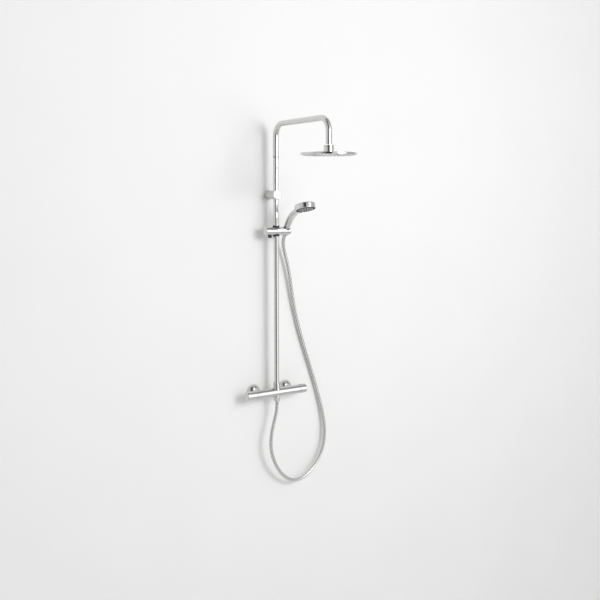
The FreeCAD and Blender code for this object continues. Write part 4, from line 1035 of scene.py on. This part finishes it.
# ---- hand shower ----
class HandleLine:
    """Circular arc of the handle, in the plane across X; places are (forward, up) from the wall's foot."""

    def __init__(self):
        tilt = math.radians(HOLDER_TILT)
        slope = math.radians(FACE_TILT)
        start_out = -HOLDER.y / MM + HANDLE_BASE * math.sin(tilt)
        start_up = HOLDER.z / MM + HANDLE_BASE * math.cos(tilt)
        forward, behind = HANDLE_END
        end_out = -FACE.y / MM + forward * math.cos(slope) - behind * math.sin(slope)
        end_up = FACE.z / MM + forward * math.sin(slope) + behind * math.cos(slope)
        out = end_out - start_out
        up = end_up - start_up
        self.first = tilt
        self.turn = 2.0 * (math.atan2(out, up) - tilt)
        self.radius = math.hypot(out, up) / (2.0 * math.sin(self.turn / 2.0))
        self.centre = (start_out + self.radius * math.cos(tilt), start_up - self.radius * math.sin(tilt))
        shares = np.linspace(0.0, 1.0, len(HANDLE_RADII))
        self.thickness = np.polynomial.Polynomial.fit(shares, HANDLE_RADII, 4)

    def distance(self, points):
        """Signed distance from the handle's surface, which is cut square at its foot."""
        across = points[..., 0] - HOLDER.x / MM
        out = -points[..., 1] - self.centre[0]
        up = points[..., 2] - self.centre[1]
        reach = np.hypot(out, up)
        angle = np.arctan2(up, -out) - self.first
        share = angle / self.turn
        from_line = np.hypot(across, reach - self.radius)
        past_end = np.maximum((share - 1.0) * self.turn * self.radius, 0.0)
        body = np.hypot(from_line, past_end) - self.thickness(np.clip(share, 0.0, 1.0))
        return soft_max(body, -angle * self.radius, 1.2)


def soft_max(a, b, width):
    """Larger of two distances with the corner between them rounded."""
    share = np.clip(0.5 + 0.5 * (a - b) / width, 0.0, 1.0)
    return b + (a - b) * share + width * share * (1.0 - share)


def soft_min(a, b, width):
    return -soft_max(-a, -b, width)


def disc_distance(local_radius, height, radius, low, high, low_round, high_round):
    """Signed distance from a disc whose lower and upper edges have their own rounding."""
    middle_height = (low + high) / 2.0
    rounding = np.where(height > middle_height, high_round, low_round)
    side = local_radius - radius + rounding
    end = np.abs(height - middle_height) - (high - low) / 2.0 + rounding
    outside = np.hypot(np.maximum(side, 0.0), np.maximum(end, 0.0))
    return outside + np.minimum(np.maximum(side, end), 0.0) - rounding


def from_axis(points, place, degrees):
    """Distance from an axis through a place, which leans back by some degrees, and height along it."""
    across, out, up = np.moveaxis(points - np.array(place) / MM, -1, 0)
    lean = math.radians(degrees)
    height = up * math.cos(lean) - out * math.sin(lean)
    return np.hypot(across, out * math.cos(lean) + up * math.sin(lean)), height


def shower_distance(points, handle):
    """Signed distance from the hand shower: handle and head melted together, less its pocket and thread."""
    in_face = from_axis(points, FACE, -FACE_TILT)
    head = disc_distance(*in_face, SHOWER_R, 0.0, SHOWER_THICK, *SHOWER_EDGES)
    body = soft_min(head, handle.distance(points), BLEND_R)
    pocket = disc_distance(*in_face, SPRAY_POCKET_R, -SHOWER_THICK, SPRAY_POCKET, 0.5, 0.5)
    body = soft_max(body, -pocket, 0.8)
    in_holder = from_axis(points, HOLDER, HOLDER_TILT)
    thread = disc_distance(*in_holder, HANDLE_THREAD_R, 0.0, HANDLE_BASE + HANDLE_THREAD, 0.5, 0.5)
    return soft_max(body, -thread, 0.6)


def edge_ends(values, axis):
    """A grid's values at the near and at the far end of its edges along an axis."""
    last = values.shape[axis] - 1
    return values.take(range(last), axis), values.take(range(1, last + 1), axis)


def surface_net(field, low, spacing):
    """Vertices and faces of the field's zero surface: one vertex per cell that it crosses."""
    cells = tuple(size - 1 for size in field.shape)
    total = np.zeros(cells + (3,))
    hits = np.zeros(cells)
    for axis in range(3):
        near, far = edge_ends(field, axis)
        crossing = (near < 0.0) != (far < 0.0)
        share = np.where(crossing, near / np.where(crossing, near - far, 1.0), 0.0)
        for sides in np.ndindex(2, 2):
            corner = np.insert(sides, axis, 0)
            window = tuple(slice(start, start + size) for start, size in zip(corner, cells))
            hits += crossing[window]
            for k in range(3):
                part = share[window] if k == axis else float(corner[k])
                total[..., k] += np.where(crossing[window], part, 0.0)
    where = np.argwhere(hits)
    found = tuple(where.T)
    vertices = np.array(low) + (where + total[found] / hits[found][:, None]) * spacing
    index = -np.ones(cells, int)
    index[found] = np.arange(len(where))
    faces = []
    for axis in range(3):
        near, far = edge_ends(field < 0.0, axis)
        first, second = np.eye(3, dtype=int)[[(axis + 1) % 3, (axis + 2) % 3]]
        for value in (True, False):
            edge = np.argwhere((near == value) & (far != value))
            quad = [edge - first - second, edge - second, edge, edge - first]
            quad = np.stack([index[tuple(corner.T)] for corner in quad], axis=1)
            faces.append(quad if value else quad[:, ::-1])
    return vertices, np.concatenate(faces)


def field_gradient(points, handle):
    """Direction in which the hand shower's distance grows, by differences over a small step."""
    sides = []
    for step in np.eye(3) * GRADIENT_STEP:
        change = shower_distance(points + step, handle) - shower_distance(points - step, handle)
        sides.append(change / (2.0 * GRADIENT_STEP))
    return np.stack(sides, axis=1)


def make_hand_shower():
    """One smooth shell from the distance field, with its normals taken from the field."""
    handle = HandleLine()
    low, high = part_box("handset_body")
    low = np.array(low) / MM - GRID_MARGIN
    high = np.array(high) / MM + GRID_MARGIN
    axes = [np.arange(low[k], high[k], GRID) for k in range(3)]
    grid = np.stack(np.meshgrid(*axes, indexing="ij"), axis=-1)
    vertices, faces = surface_net(shower_distance(grid, handle), low, GRID)
    for _ in range(PULLS):
        gradient = field_gradient(vertices, handle)
        size = np.maximum((gradient ** 2).sum(axis=1, keepdims=True), 0.05)
        vertices = vertices - gradient * shower_distance(vertices, handle)[:, None] / size
    normals = field_gradient(vertices, handle)
    normals /= np.linalg.norm(normals, axis=1, keepdims=True)
    mesh = bpy.data.meshes.new("hand_shower")
    mesh.from_pydata((vertices * MM).tolist(), [], faces.tolist())
    mesh.shade_smooth()
    mesh.normals_split_custom_set_from_vertices(normals.tolist())
    obj = added("hand_shower", mesh, MATERIALS["plated_plastic"])
    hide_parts("handset_body")
    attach(obj, "handset")


def make_spray_nozzles():
    """Silicone nozzles of the hand shower, each with a rounded lip and a bore."""
    tip = -1.6
    bore = 0.3
    floor = 0.4
    foot_r = 1.7
    foot = 0.58
    stem_r = 1.0
    root = 3.9
    outline = profile((0.0, floor), (bore, floor), (bore, tip + 0.1), (0.4, tip), (0.9, tip),
                      (1.1, tip + 0.15), (foot_r, 0.3, 0.3), (foot_r, foot), (stem_r, foot), (stem_r, root),
                      (0.0, root))
    nozzle = turned(outline, steps=14)
    part = joined(on_rings(nozzle, SPRAY_RINGS, SPRAY_PITCH))
    piece("spray_nozzles", part, ON_FACE, "spray_selector", "handset_nozzles")


# ---- carried-over CAD nodes ----
def finish_cad_nodes():
    """Every CAD node takes the procedural material of its slot."""
    for name, node in NODES.items():
        node.data.materials.clear()
        node.data.materials.append(MATERIALS[NODE_SLOTS[name]])


make_camera()
make_hose()
finish_cad_nodes()
make_surroundings()
make_riser()
make_riser_nut()
make_arm()
make_arm_screw()
make_roses()
make_union_nuts()
make_flow_handle()
make_handle_caps()
make_head_shell()
make_head_nozzles()
make_ball_collar()
make_bracket_cover()
make_slider_button()
make_springs()
make_hand_shower()
make_spray_nozzles()
